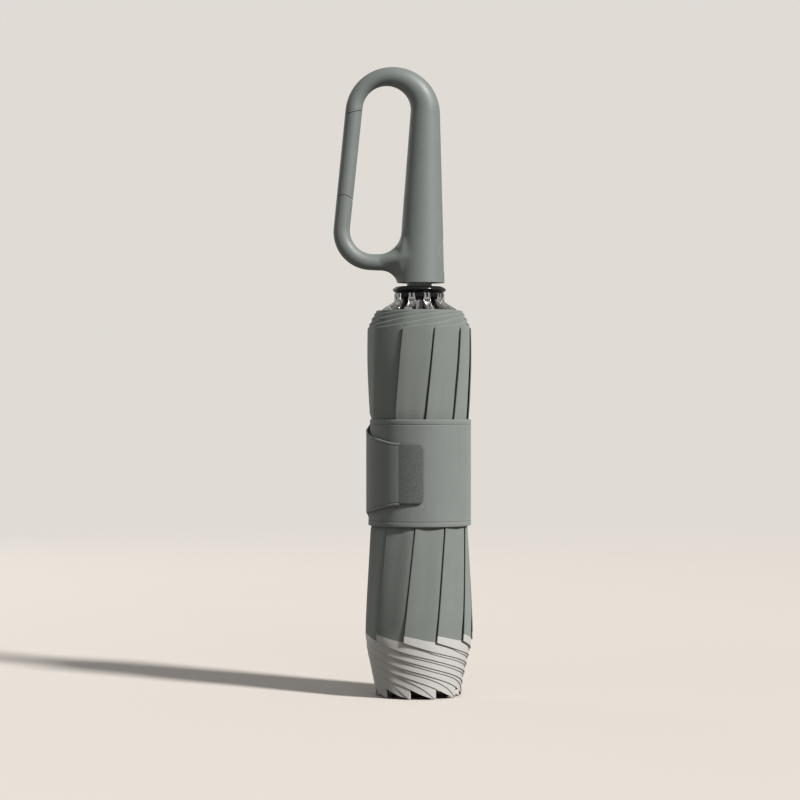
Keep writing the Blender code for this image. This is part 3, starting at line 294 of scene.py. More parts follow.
HOOK = grained("hook_and_loop", (0.022, 0.024, 0.023), 0.95, (NAP, 0.4, 2.0), None, (NAP, 0.3, 0.8),
               Sheen_Weight=0.3)
GREY = soft_touch("grey_plastic", (0.16, 0.16, 0.16))
# The neck is the grip's soft-touch plastic, painted much lighter. This is painted light that stands in for the
# light the grip's shade keeps off it.
NECK_PAINTED_LIGHT = soft_touch("neck_plastic_painted_light", (0.33, 0.36, 0.345))
FLOOR = floor_paint("floor_paint")


# Curves and meshes


def polar(radius, turn, height):
    return Vector((radius * sin(turn), -radius * cos(turn), height))


def around(sides):
    """Evenly spaced turns of a whole circle."""
    return [2 * pi * i / sides for i in range(sides)]


def mix(start, end, share):
    return start + (end - start) * share


def ramp(x, start, width):
    """Goes smoothly from 0 at the start to 1 a width further on, which may lie below the start."""
    share = np.clip((x - start) / width, 0, 1)
    return share * share * (3 - 2 * share)


def curve_through(xs, ys):
    """A smooth curve through points that doesn't overshoot them."""
    xs, ys = np.array(xs, float), np.array(ys, float)
    steps = np.diff(ys) / np.diff(xs)
    slopes = np.zeros(len(xs))
    slopes[0], slopes[-1] = steps[0], steps[-1]
    for i in range(1, len(xs) - 1):
        if steps[i - 1] * steps[i] > 0:
            slopes[i] = 2 * steps[i - 1] * steps[i] / (steps[i - 1] + steps[i])

    def value(x):
        x = np.clip(x, xs[0], xs[-1])
        i = np.clip(np.searchsorted(xs, x, side="right") - 1, 0, len(xs) - 2)
        wide = xs[i + 1] - xs[i]
        t = (x - xs[i]) / wide
        low = (1 + 2 * t) * (1 - t) ** 2 * ys[i] + t * (1 - t) ** 2 * wide * slopes[i]
        high = t * t * (3 - 2 * t) * ys[i + 1] + t * t * (t - 1) * wide * slopes[i + 1]
        return low + high

    return value


def dress(mesh, material, smooth_angle):
    """Gives a mesh its one material, and smooth shading between edges sharper than an angle in degrees."""
    mesh.materials.clear()
    mesh.materials.append(material)
    mesh.shade_smooth()
    mesh.set_sharp_from_angle(angle=radians(smooth_angle))


def make_object(name, mesh, material, smooth_angle=40):
    dress(mesh, material, smooth_angle)
    return new_object(name, mesh)


def settle(obj, body, slot, *nodes):
    """Rides a finished piece on its body and hides the CAD nodes that it stands for. The slot is not used."""
    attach(obj, body)
    if nodes:
        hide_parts(*nodes)
    return obj


def ring_mesh(name, rings, closed=False, capped=True):
    """A mesh through rings of points. Ends that aren't joined get flat caps."""
    bm = bmesh.new()
    loops = [[bm.verts.new(p) for p in ring] for ring in rings]
    pairs = list(zip(loops, loops[1:]))
    if closed:
        pairs.append((loops[-1], loops[0]))
    for low, high in pairs:
        for i in range(len(low)):
            j = (i + 1) % len(low)
            bm.faces.new((low[i], low[j], high[j], high[i]))
    if capped and not closed:
        bm.faces.new(loops[0])
        bm.faces.new(loops[-1])
    bmesh.ops.recalc_face_normals(bm, faces=bm.faces[:])
    mesh = bpy.data.meshes.new(name)
    bm.to_mesh(mesh)
    bm.free()
    return mesh


def joined(name, meshes):
    bm = bmesh.new()
    for mesh in meshes:
        bm.from_mesh(mesh)
        bpy.data.meshes.remove(mesh)
    result = bpy.data.meshes.new(name)
    bm.to_mesh(result)
    bm.free()
    return result


def lathe_mesh(name, profile, sides, closed=False, capped=True):
    return ring_mesh(name, [[polar(r, t, z) for t in around(sides)] for r, z in profile], closed, capped)


def lathe(name, profile, sides, material, closed=False, capped=True, smooth_angle=40):
    return make_object(name, lathe_mesh(name, profile, sides, closed, capped), material, smooth_angle)


def prism_mesh(name, outline, place, half_depth):
    """Extrudes an outline of (u, v) points both ways from a plane."""
    rings = [[place @ Vector((u, side, v)) for u, v in outline] for side in (-half_depth, half_depth)]
    return ring_mesh(name, rings)


def box_mesh(name, low, high):
    outline = ((low[0], low[2]), (high[0], low[2]), (high[0], high[2]), (low[0], high[2]))
    return ring_mesh(name, [[Vector((x, y, z)) for x, z in outline] for y in (low[1], high[1])])


def evaluated_mesh(obj):
    graph = bpy.context.evaluated_depsgraph_get()
    return bpy.data.meshes.new_from_object(obj.evaluated_get(graph))


def mesh_points(mesh):
    points = np.empty(len(mesh.vertices) * 3)
    mesh.vertices.foreach_get("co", points)
    return points.reshape(-1, 3)


def cut(obj, mesh, operation="DIFFERENCE"):
    """Applies one exact Boolean with a mesh, which is then thrown away."""
    tool = new_object("tool", mesh)
    modifier = obj.modifiers.new("cut", "BOOLEAN")
    modifier.operation = operation
    modifier.solver = "EXACT"
    modifier.object = tool
    result = evaluated_mesh(obj)
    obj.modifiers.clear()
    bpy.data.objects.remove(tool, do_unlink=True)
    obj.data = result


# Canopy bundle

FLAPS = 10
STEP = 2 * pi / FLAPS
RIB_TURNS = [Matrix.Rotation((i + 0.5) * STEP, 4, "Z") for i in range(FLAPS)]
FOLD_TURN = radians(-17.7)
FOLD_TURN_HEIGHT = 0.0277
FOLD_TWIST = radians(0.223) / MM
FOLD_RISE = 0.16 * MM
OUTER_WRAP = 6.27
INNER_WRAP = 5.27
RIM_TOP = 0.0286
LOWER_ZONE = (0.026, 0.035)
UPPER_ZONE = (0.150, 0.034)
PLEAT_SHARE = 0.55
PLEAT_MOST = 0.6 * MM
TOP_ZONE = (0.176, 0.008)
TOP_SHARE = 0.82
TOP_MOST = 1.0 * MM
TOP_ROUND = 1.0 * MM
TOP_CURVE = 2.6
TOP_ROWS = (1, 0.8, 0.6, 0.42, 0.27, 0.15, 0.07, 0.02, 0)
SHEET_HEIGHT = 0.165
SLIT_DEPTH = 1.75 * MM
SLIT_OPENS = (0.962, 0.009)
SLIT_CLOSES = (0.02, 0.05)
SLIT_FOOT = (0.0276, 0.0013)
SLIT_HEAD = (0.1797, 0.0028)
FACE_DIP = 0.45 * MM
FACE_DIP_FOOT = (0.022, 0.01)
LEVEL_RISE = 0.55 * MM
LEVEL_FOOT = (0.030, 0.014)
LEVEL_HEAD = (0.080, 0.03)
FLUSH_LEFT = np.radians((-135, 22))
FLUSH_RIGHT = np.radians((-46, 26))
FLUSH_TOP = (0.0275, 0.005)
STRAP_EDGES = (0.0835, 0.140)
HEM_TUCK = 0.5 * MM
TAPE_LIFT = 0.07 * MM
WELD_DISTANCE = 0.03 * MM
UV_RADIUS = 0.023
TIP_RINGS = ((0.0003, 0.7), (0.0006, 0.95), (0.0012, 1.0), (0.0040, 1.0), (0.0047, 0.85), (0.0050, 0.5))
TIP_FOOT = 0.001
TIP_INSET = 0.15 * MM
TIP_HALF_DEPTH = 0.42 * MM
TIP_HALF_WIDTH = 0.56 * MM
LAYERS = (0, 1, 2, 3, 4, 5, 6.27)

bundle_radius = curve_through(
    (0.0, 0.010, 0.0285, 0.048, 0.063, 0.080, 0.090, 0.112, 0.134, 0.142, 0.150, 0.168, 0.184, 0.193),
    (0.0266, 0.0266, 0.0266, 0.0261, 0.02545, 0.0248, 0.02445, 0.0244, 0.0247, 0.0251, 0.0254, 0.0258,
     0.0256, 0.0255),
)
drop_low = curve_through(LAYERS, np.array((0, 1.05, 2.05, 3.05, 4.05, 5.1, 6.2)) * MM)
drop_middle = curve_through(LAYERS, np.array((0, 1.0, 1.7, 2.3, 2.85, 3.35, 3.95)) * MM)
drop_high = curve_through(LAYERS, np.array((0, 0.7, 1.85, 3.1, 3.95, 4.55, 5.2)) * MM)
top_edge = curve_through(LAYERS, (0.1835, 0.1857, 0.1885, 0.1907, 0.1921, 0.1923, 0.1923))
RIM_LAYERS = (0, 1, 2, 3, 4, 5, 5.9, 6.27)
RIM_HEIGHTS = (RIM_TOP, 0.0238, 0.0199, 0.0157, 0.0116, 0.0068, 0.0016, 0.0003)
outer_rim = curve_through(RIM_LAYERS, RIM_HEIGHTS)
rim_layer = curve_through(RIM_HEIGHTS[::-1], RIM_LAYERS[::-1])
inner_rim = curve_through(
    (0, 0.5, 1, 2, 3, 4, 4.7, 5.27), (RIM_TOP, 0.0259, 0.0228, 0.0187, 0.0144, 0.0102, 0.0058, 0.0003)
)
flush_face = curve_through((0, 0.0034, 0.0140, 0.0248, RIM_TOP), (0.0212, 0.0219, 0.0241, 0.0262, 0.0265))
band_width = curve_through((0, 1, 1.6, 2.2, 6.27), (0.0033, 0.0049, 0.0074, 0.0085, 0.0085))


def wrap_drop(s, z):
    """How far the layer at s steps from its fold lies inside the bundle's outer radius."""
    high = ramp(z, *UPPER_ZONE)
    low = 1 - ramp(z, *LOWER_ZONE)
    return drop_low(s) * low + drop_high(s) * high + drop_middle(s) * (1 - low - high)


def slit_depth(s, z):
    """The narrow slit in every layer where it passes under the next flap's fold."""
    inside = ramp(s % 1.0, *SLIT_OPENS) + 1 - ramp(s % 1.0, *SLIT_CLOSES)
    inside = np.where(s < 0.5, 0, np.clip(inside, 0, 1))
    ends = ramp(z, *SLIT_FOOT) * (1 - ramp(z, *SLIT_HEAD))
    deep = mix(0.6, 1, ramp(z, BAND_BOTTOM, 0.05)) * np.clip(1.17 - 0.17 * s, 0, 1)
    return SLIT_DEPTH * deep * inside * ends


def level_rise(s, z):
    """How far the cloth below the strap rises to lie nearly level with the next flap's fold."""
    inside = ramp(s, 0.35, 0.6) * (1 - ramp(s, 0.97, 0.04))
    return LEVEL_RISE * inside * ramp(z, *LEVEL_FOOT) * (1 - ramp(z, *LEVEL_HEAD))


def flush_drop(s, z):
    """The drop where the rims lie flush in one smooth face, as they do on the left."""
    above = s - rim_layer(z)
    deeper = (0.12 * above + 0.45 * ramp(above, 0.88, 0.25) + 0.93 * np.maximum(above - 1.13, 0)) * MM
    return bundle_radius(z) - flush_face(z) + deeper


def flush_share(turn, z):
    """How flush the rims lie, by turn and height: wholly on the left, and not at all above them."""
    turn = (turn + pi) % (2 * pi) - pi
    return ramp(turn, *FLUSH_LEFT) * (1 - ramp(turn, *FLUSH_RIGHT)) * (1 - ramp(z, *FLUSH_TOP))


def fold_turn(flap, z):
    return FOLD_TURN + flap * STEP + FOLD_TWIST * (z - FOLD_TURN_HEIGHT)


def flap_columns():
    """One flap's section as (steps from the fold, layer, roll): layer -1 inside, 1 outside and 0 in the fold."""
    slit = (-0.10, -0.039, -0.034, -0.028, -0.012, 0.0, 0.02, 0.045, 0.07, 0.12)
    between = (0.25, 0.38, 0.5, 0.62, 0.76)
    outer = [0.04, 0.1, 0.18, 0.28, 0.4, 0.52, 0.64, 0.76, 0.84]
    for whole in range(1, 7):
        outer += [whole + part for part in slit + between]
    inner = [s for s in outer if s < INNER_WRAP] + [INNER_WRAP]
    outer = [s for s in outer if s < OUTER_WRAP] + [OUTER_WRAP]
    columns = [(s, -1, 0.0) for s in reversed(inner)]
    columns += [(0.0, 0, roll) for roll in np.radians((262, 236, 208, 180, 152, 124, 98))]
    return columns + [(s, 1, 0.0) for s in outer]


COLUMNS, LAYER, ROLL = np.array(flap_columns()).T
RIM = np.where(LAYER < 0, inner_rim(COLUMNS), outer_rim(COLUMNS))
TOP = top_edge(COLUMNS)


def ripple(flap, s, z):
    """Slight unevenness of the stretched cloth, in metres outwards, with tucks at the strap's edges."""
    phase = flap * 2.399
    wave = np.sin(z / 0.021 + phase + 2.1 * s) * 0.05 + np.sin(z / 0.0093 - 1.7 * phase + 5.3 * s) * 0.025
    near_strap = sum(np.exp(-np.abs(z - edge) / 0.006) for edge in STRAP_EDGES)
    tucks = np.sin(s * 2 * pi * 2.4 + phase) * 0.09 * near_strap
    return (wave + tucks) * MM


def layer_points(flap, z, lift=0.0):
    """A flap's points at an array of heights, lifted off the cloth, and their distances across it."""
    s = np.broadcast_to(COLUMNS, z.shape)
    where = fold_turn(flap, z) + s * STEP
    drop = wrap_drop(s, z)
    pitch = wrap_drop(np.minimum(s + 1, OUTER_WRAP + 1), z) - drop
    pitch = np.where(s > OUTER_WRAP - 1, wrap_drop(s, z) - wrap_drop(s - 1, z), pitch)
    near_top = ramp(z, *TOP_ZONE)
    flush = flush_share(where, z)
    share = mix(PLEAT_SHARE, TOP_SHARE, near_top) * (1 - 0.5 * flush)
    thick = np.minimum(share * pitch, mix(PLEAT_MOST, TOP_MOST, near_top))
    dip = FACE_DIP * (np.sin(pi * s) ** 2 - 0.25) * (1 - flush) * ramp(z, *FACE_DIP_FOOT)
    drop = mix(drop, flush_drop(s, z), flush) + slit_depth(s, z) + dip
    drop = drop - level_rise(s, z) * (1 - flush)
    left = np.clip((TOP - z) / TOP_ROUND, 0, 1)
    thick = thick * (1 - (1 - left) ** TOP_CURVE) ** (1 / TOP_CURVE)
    raised = FOLD_RISE * np.exp(-s / 0.12) * np.where(z < RIM_TOP, 0.5, 1.0) * (1 - flush)
    under_strap = ramp(z, BAND_BOTTOM - 0.0018, 0.003) * (1 - ramp(z, BAND_TOP - 0.0012, 0.003))
    pulled = squeeze(where, z) * under_strap
    middle = bundle_radius(z) - pulled - drop - share * pitch / 2 + raised
    middle = middle + ripple(flap, s, z) * np.exp(-np.maximum(s - 1, 0) / 0.3)
    half = thick / 2
    in_fold = LAYER == 0
    out = np.where(in_fold, np.sin(ROLL), LAYER)
    radius = middle + half * out + lift * out
    along = np.where(in_fold, half * (1 + np.cos(ROLL)) + lift * np.cos(ROLL), s * STEP * radius)
    turn = fold_turn(flap, z) + along / radius
    points = np.stack((radius * np.sin(turn), -radius * np.cos(turn), z), axis=-1)
    return points, s * LAYER * STEP * UV_RADIUS


def sheet_object(name, flaps, material):
    """A sheet closed round the bundle from its flaps side by side, with a UV map in metres."""
    points, across = (np.concatenate(parts, axis=1) for parts in zip(*flaps))
    rows, columns = points.shape[:2]
    index = np.arange(rows * columns).reshape(rows, columns)
    right = np.roll(index, -1, axis=1)
    faces = np.stack((index[:-1], right[:-1], right[1:], index[1:]), axis=-1).reshape(-1, 4)
    mesh = bpy.data.meshes.new(name)
    mesh.from_pydata(points.reshape(-1, 3).tolist(), [], faces.tolist())
    layer = mesh.uv_layers.new(name=CLOTH_UV)
    place = np.stack((across, points[:, :, 2]), axis=-1).reshape(-1, 2)
    layer.data.foreach_set("uv", place[faces.reshape(-1)].astype(np.float32).reshape(-1))
    mesh.validate()
    return make_object(name, mesh, material, 70)


def rows_of(bottom, top, shares):
    return bottom + (top - bottom) * shares[:, None]


def make_canopy():
    """One continuous pleated sheet: each flap runs out to its fold and back, wound round the ribs."""
    capped = 1 - TOP_ROUND / SHEET_HEIGHT * np.array(TOP_ROWS)
    shares = np.concatenate((np.linspace(0, capped[0], 60)[:-1], capped))
    heights = rows_of(RIM + HEM_TUCK, TOP, shares)
    canopy = sheet_object("canopy_sheet", [layer_points(flap, heights) for flap in range(FLAPS)], CLOTH)
    weld = bmesh.new()
    weld.from_mesh(canopy.data)
    bmesh.ops.remove_doubles(weld, verts=weld.verts, dist=WELD_DISTANCE)
    weld.to_mesh(canopy.data)
    weld.free()
    return settle(canopy, "canopy_frame", "canopy_cloth", "canopy")


def make_trim():
    """The reflective tape that binds the rim of every flap on both faces of the cloth."""
    flaps = []
    for flap in range(FLAPS):
        faces = []
        for lift, start in ((TAPE_LIFT, 1), (-TAPE_LIFT, 0)):
            heights = rows_of(RIM, RIM + band_width(COLUMNS), np.linspace(start, 1 - start, 6))
            faces.append(layer_points(flap, heights, lift))
        flaps.append([np.concatenate(parts) for parts in zip(*faces)])
    trim = sheet_object("canopy_trim_tape", flaps, TRIM)
    return settle(trim, "canopy_frame", "reflective_trim", "canopy_trim")


def make_tip_pockets():
    """The stitched pocket at every flap's corner, upright on the end of its rim."""
    meshes = []
    for flap in range(FLAPS):
        turn = float(fold_turn(flap, 0)) + OUTER_WRAP * STEP
        drop = mix(drop_low(OUTER_WRAP), flush_drop(OUTER_WRAP, TIP_FOOT), flush_share(turn, TIP_FOOT))
        radius = float(bundle_radius(0.0) - drop) - TIP_INSET
        rings = []
        for z, share in TIP_RINGS:
            deep, wide = TIP_HALF_DEPTH * share, TIP_HALF_WIDTH * share
            rings.append([polar(radius + deep * cos(roll), turn + wide * sin(roll) / radius, z)
                          for roll in around(20)])
        meshes.append(ring_mesh("pocket", rings))
    pockets = strip_object("tip_pockets", joined("tip_pockets", meshes), TRIM)
    return settle(pockets, "canopy_frame", "reflective_trim")


# Handle, gate and button

GRIP_BOTTOM = 0.20615
GRIP_FRONT_X = 0.0126
GRIP_BACK_X = -0.0110
GRIP_DEPTH_SHARE = 0.92
ARCH_OUTER = ((-0.01335, 0.29040), 0.02368)
ARCH_INNER = ((-0.01635, 0.29250), 0.01205)
LOOP_OUTER = ((-0.02385, 0.23160), 0.0191)
LOOP_INNER = ((-0.02270, 0.2325), 0.0120)
ROOT_FILLET = ((-0.0195, 0.2032), 0.0090)
ROOT_INNER = ((-0.0211, 0.2329), 0.0124)
# The root's turn on the fillet, its turn on the inner arc and its half depth in mm
ROOT_STATIONS = (
    (90, 272, 3.9), (76, 292, 4.0), (62, 310, 4.3), (50, 325, 4.8), (38, 339, 5.5), (26, 352, 6.2),
    (14, 362, 7.0),
)
ROOT_END = (Vector((-0.0050, 0.2040)), Vector((-0.0052, 0.2335)), 0.0082)
# The ridge's x, height, half height and half depth, at its start and at its end
RIDGE = ((-0.0215, -0.0044), (0.2165, 0.2190), (0.0034, 0.0050), (0.0033, 0.0091))
SECTION_SIDES = 56
REMESH_SIZE = 0.42 * MM
MELT_CENTRE = (-0.0095, 0.0, 0.2190)
MELT_FLATNESS = 0.72
MELT_EDGE = (0.0088, 0.0055)
MELT_ROUNDS = 42
MELT_RATE = 0.6
GATE_TOP_CENTRE = (-0.0327, 0.29135)
GATE_TOP_SLOPE = 0.255
GATE_REACH = 0.0085
GATE_HALF_DEPTH = 0.0075
GATE_OPEN = radians(29)
GAP = 0.0003
HINGE_PLACE = (-0.03805, 0.2446)
HINGE_RADIUS = 0.0052
TONGUE_RADIUS = 0.0022
TONGUE_REACH = 0.009
TONGUE_LEFT = radians(119)
TONGUE_RIGHT = radians(91)
TONGUE_PLAY = radians(3)
TONGUE_HALF_THICKNESS = 0.0013
PIN_RADIUS = 0.0013
PIN_HOLE_HALF_DEPTH = 0.004
PIN_BORE_HALF_DEPTH = 0.0032
SHAFT_BORE = 0.0053
CAVITY_RADIUS = 0.0084
CAVITY = [(CAVITY_RADIUS, 0.2056), (CAVITY_RADIUS, 0.231), (SHAFT_BORE, 0.233), (SHAFT_BORE, 0.2403)]
BUTTON_HEIGHT = 0.2197
BUTTON_HALF_LENGTH = 0.0079
BUTTON_HALF_WIDTH = 0.0067
BUTTON_BACK_X = 0.0084
BUTTON_FRONT_X = 0.0150
BUTTON_INSET = 0.12 * MM
BUTTON_ROUND = 0.22 * MM
OPENING_X = (0.0060, 0.0135)
NECK_RADIUS = 0.0062
PLUG_RADIUS = 0.0081
PLUG_HEIGHT = 3 * MM
SPRING_RISE = 0.0028
POCKET_RADIUS = 0.0020
POCKET_DEPTH = 0.0016


def arc_point(arc, turn):
    (x, z), radius = arc
    return Vector((x + radius * cos(turn), z + radius * sin(turn)))


def stem_tilt():
    """The lean of the long side, whose outer line touches the arch's and the loop's circles."""
    (x0, z0), r0 = ARCH_OUTER
    (x1, z1), r1 = LOOP_OUTER
    return atan2(x0 - x1, z0 - z1) - asin((r0 - r1) / hypot(x0 - x1, z0 - z1))


END_TURN = pi - stem_tilt()


def section_ring(outer, inner, depth):
    """An oval section of the ring between two points of its outline."""
    centre, reach = (outer + inner) / 2, (outer - inner) / 2
    ring = []
    for turn in around(SECTION_SIDES):
        place = centre + reach * cos(turn)
        ring.append(Vector((place.x, depth * sin(turn), place.y)))
    return ring


def round_ring(outer, inner, share=1.0):
    """A section whose depth is this share of its width."""
    return section_ring(outer, inner, (outer - inner).length / 2 * share)


def arc_ring(outer, inner, turn, share=1.0):
    return round_ring(arc_point(outer, turn), arc_point(inner, turn), share)


def handle_rings():
    """Sections of the whole ring: up the grip, over the arch, down the long side and round to the root."""
    rings = []
    low_outer, low_inner = Vector((GRIP_FRONT_X, GRIP_BOTTOM)), Vector((GRIP_BACK_X, GRIP_BOTTOM))
    for share in np.linspace(-0.05, 0.97, 30):
        outer = mix(low_outer, arc_point(ARCH_OUTER, 0), share)
        inner = mix(low_inner, arc_point(ARCH_INNER, 0), share)
        rings.append(round_ring(outer, inner, GRIP_DEPTH_SHARE))
    for i in range(45):
        depth_share = mix(GRIP_DEPTH_SHARE, 1.0, float(ramp(i, 0, 22)))
        rings.append(arc_ring(ARCH_OUTER, ARCH_INNER, END_TURN * i / 44, depth_share))
    for share in np.linspace(0.04, 1, 24):
        outer = arc_point(ARCH_OUTER, END_TURN).lerp(arc_point(LOOP_OUTER, END_TURN), share)
        inner = arc_point(ARCH_INNER, END_TURN).lerp(arc_point(LOOP_INNER, END_TURN), share)
        rings.append(round_ring(outer, inner))
    for turn in np.linspace(END_TURN, 1.5 * pi, 33)[1:]:
        rings.append(arc_ring(LOOP_OUTER, LOOP_INNER, turn))
    steps = np.arange(len(ROOT_STATIONS))
    fillet, inner_turn, depth = (curve_through(steps, column) for column in zip(*ROOT_STATIONS))
    for at in np.linspace(0.2, steps[-1], 26):
        outer = arc_point(ROOT_FILLET, radians(float(fillet(at))))
        inner = arc_point(ROOT_INNER, radians(float(inner_turn(at))))
        rings.append(section_ring(outer, inner, float(depth(at)) * MM))
    return rings + [section_ring(*ROOT_END)]


def ridge_rings():
    """The loop's round body carried on into the grip, where it ends flush with the grip's front."""
    rings = []
    for share in np.linspace(0, 1, 14):
        x, z, high, depth = (mix(*ends, share) for ends in RIDGE)
        rings.append(section_ring(Vector((x, z - high)), Vector((x, z + high)), depth))
    return rings


def neighbours_mean(points, edges):
    total = np.zeros_like(points)
    count = np.zeros(len(points))
    for a, b in ((0, 1), (1, 0)):
        np.add.at(total, edges[:, a], points[edges[:, b]])
        np.add.at(count, edges[:, a], 1)
    return total / count[:, None]


def soft_union(mesh):
    """Melts a self-crossing loft into one skin, smooth where the loop's root runs into the grip."""
    obj = new_object("melt", mesh)
    modifier = obj.modifiers.new("melt", "REMESH")
    modifier.mode = "VOXEL"
    modifier.voxel_size = REMESH_SIZE
    skin = evaluated_mesh(obj)
    tree = BVHTree.FromPolygons([v.co.copy() for v in mesh.vertices], [p.vertices[:] for p in mesh.polygons])
    bpy.data.objects.remove(obj, do_unlink=True)
    points = mesh_points(skin)
    edges = np.empty(len(skin.edges) * 2, int)
    skin.edges.foreach_get("vertices", edges)
    edges = edges.reshape(-1, 2)
    away = points - np.array(MELT_CENTRE)
    away[:, 2] *= MELT_FLATNESS
    exact = ramp(np.linalg.norm(away, axis=1), *MELT_EDGE)[:, None]
    smooth = points.copy()
    for _ in range(MELT_ROUNDS):
        smooth += (neighbours_mean(smooth, edges) - smooth) * MELT_RATE * (1 - 0.85 * exact)
    nearest = np.array([tree.find_nearest(Vector(p))[0][:] for p in points])
    final = smooth * (1 - exact) + nearest * exact
    skin.vertices.foreach_set("co", final.reshape(-1))
    skin.update()
    return skin


def arc_outline(radius, start, end, steps):
    turns = [mix(start, end, i / steps) for i in range(steps + 1)]
    return [(radius * cos(turn), radius * sin(turn)) for turn in turns]


def round_outline(radius):
    return arc_outline(radius, 0, 2 * pi * 23 / 24, 23)


def web_outline(radius, left, right):
    """A round eye with a web upwards from it, between two turns."""
    ends = [(TONGUE_REACH * cos(turn), TONGUE_REACH * sin(turn)) for turn in (right, left)]
    return arc_outline(radius, left, 2 * pi + right, 32) + ends


def oval_bar(name, spare, back, front):
    """A bar along X with the button's oval section and spare room round it."""
    wide, high = BUTTON_HALF_WIDTH + spare, BUTTON_HALF_LENGTH + spare
    return ring_mesh(name, [[Vector((x, wide * cos(turn), BUTTON_HEIGHT + high * sin(turn)))
                             for turn in around(64)] for x in (back, front)])


def gate_block(frame_at, seam, round_radius):
    """The space between the gate's two seams: under the slanted one, and over the round one."""
    slope = atan2(GATE_TOP_SLOPE, 1)
    turned = Matrix.Translation((GATE_TOP_CENTRE[0], 0, GATE_TOP_CENTRE[1])) @ Matrix.Rotation(-slope, 4, "Y")
    high = [frame_at.inverted() @ turned @ Vector((u, 0, seam)) for u in (GATE_REACH, -GATE_REACH)]
    low = [(-GATE_REACH, 0.0)] + arc_outline(round_radius, pi, 0, 32) + [(GATE_REACH, 0.0)]
    return prism_mesh("gate_block", low + [(p.x, p.z) for p in high], frame_at, GATE_HALF_DEPTH)


def make_handle():
    """The ring, cut in two at the gate's seams, with the tongue, slot, pin hole, cavity and opening."""
    skin = soft_union(joined("ring", [ring_mesh("ring", handle_rings()), ring_mesh("ridge", ridge_rings())]))
    make_button(skin.copy())
    whole = make_object("ring_handle", skin, GRIP)
    cut(whole, box_mesh("floor_cut", (-0.03, -0.02, 0.195), (0.02, 0.02, GRIP_BOTTOM)))
    at = Matrix.Translation((HINGE_PLACE[0], 0, HINGE_PLACE[1])) @ Matrix.Rotation(stem_tilt(), 4, "Y")
    gate = make_object("ring_gate", whole.data.copy(), GRIP)
    tongue = web_outline(TONGUE_RADIUS, TONGUE_LEFT, TONGUE_RIGHT)
    block = make_object("block", gate_block(at, -GAP / 2, HINGE_RADIUS + GAP), GRIP)
    cut(block, prism_mesh("tongue", tongue, at, TONGUE_HALF_THICKNESS), "UNION")
    cut(gate, block.data, "INTERSECT")
    bpy.data.objects.remove(block, do_unlink=True)
    cut(whole, gate_block(at, GAP / 2, HINGE_RADIUS))
    slot = web_outline(TONGUE_RADIUS + GAP, TONGUE_LEFT + TONGUE_PLAY, TONGUE_RIGHT - GATE_OPEN - TONGUE_PLAY)
    cut(whole, prism_mesh("slot", slot, at, TONGUE_HALF_THICKNESS + GAP))
    pin = round_outline(PIN_RADIUS)
    cut(gate, prism_mesh("pin_hole", pin, at, PIN_HOLE_HALF_DEPTH))
    cut(whole, prism_mesh("pin_bore", pin, at, PIN_BORE_HALF_DEPTH))
    cut(whole, lathe_mesh("cavity", CAVITY, 64))
    cut(whole, oval_bar("opening", GAP, *OPENING_X))
    for obj, body, node in ((whole, "handle", "handle_ring"), (gate, "gate", "gate")):
        dress(obj.data, GRIP, 38)
        settle(obj, body, "soft_touch_plastic", node)


def make_button(skin):
    """The wide oval button: its face follows the grip, a hair's breadth lower and with softened edges."""
    button = make_object("thumb_button", skin, BUTTON)
    cut(button, oval_bar("bar", 0, BUTTON_BACK_X, BUTTON_FRONT_X), "INTERSECT")
    spring = Matrix.Translation((BUTTON_BACK_X, 0, BUTTON_HEIGHT + SPRING_RISE))
    pocket = prism_mesh("pocket", round_outline(POCKET_RADIUS), spring @ Matrix.Rotation(pi / 2, 4, "Z"),
                        POCKET_DEPTH)
    cut(button, pocket)
    points = mesh_points(button.data)
    round_y = points[:, 1] / BUTTON_HALF_WIDTH
    round_z = (points[:, 2] - BUTTON_HEIGHT) / BUTTON_HALF_LENGTH
    sink = BUTTON_INSET + BUTTON_ROUND * ramp(np.hypot(round_y, round_z), 0.9, 0.1)
    points[:, 0] -= np.where(points[:, 0] > BUTTON_BACK_X + MM, sink, 0)
    button.data.vertices.foreach_set("co", points.reshape(-1))
    dress(button.data, BUTTON, 50)
    settle(button, "push_button", "soft_touch_plastic", "push_button")


def make_neck():
    """The short ring between the grip and the runner's disc, with a wider plug inside the grip."""
    low, high = CAP_TOP + GAP, GRIP_BOTTOM + GAP
    plug = high + PLUG_HEIGHT
    profile = [(NECK_RADIUS, low), (NECK_RADIUS, high), (PLUG_RADIUS, high), (PLUG_RADIUS, plug)]
    # Its plastic is painted lighter than the grip's, as painted light in the grip's shade.
    settle(bored_lathe("neck_ring", profile, 72, NECK_PAINTED_LIGHT), "handle", "soft_touch_plastic", "neck_collar")


# Runner and stretchers

CAP_TOP = 0.2043
CAP_BOTTOM = 0.2010
CAP_RADIUS = 0.0134
# The disc's bevel: its inset in mm and its share of the disc's height
CAP_BEVEL = ((1.5, 0.03), (0.8, 0.18), (0.3, 0.34), (0.06, 0.45), (0.0, 0.52), (0.12, 0.60), (0.7, 0.74),
             (1.4, 0.88), (2.0, 0.96), (2.6, 0.99), (3.4, 1.0))
HUB_RADIUS = 0.0121
HUB_BOTTOM = 0.1986
HUB_TOP = CAP_BOTTOM - 0.15 * MM
GROOVE_OFFSET = 1.1 * MM
GROOVE_HALF_WIDTH = 0.68 * MM
SLEEVE_BOTTOM = 0.1860
SLEEVE_RADIUS = 0.0095
SLEEVE_TOP = HUB_BOTTOM - 0.1 * MM
RAIL_BACK = 9.45 * MM
RAIL_FRONT = 10.6 * MM
BOW_PATH = ((0.0125, 0.20065), (0.0125, 0.1972), (0.0145, 0.1953), (0.0183, 0.1929), (0.0196, 0.1905),
            (0.0198, 0.1870))
BOW_LOW = (0.180, 0.150, 0.125, 0.100)
BOW_WALL = 0.42 * MM
BOW_LIP = 0.12 * MM
BOW_HALF_WIDTH = 1.5
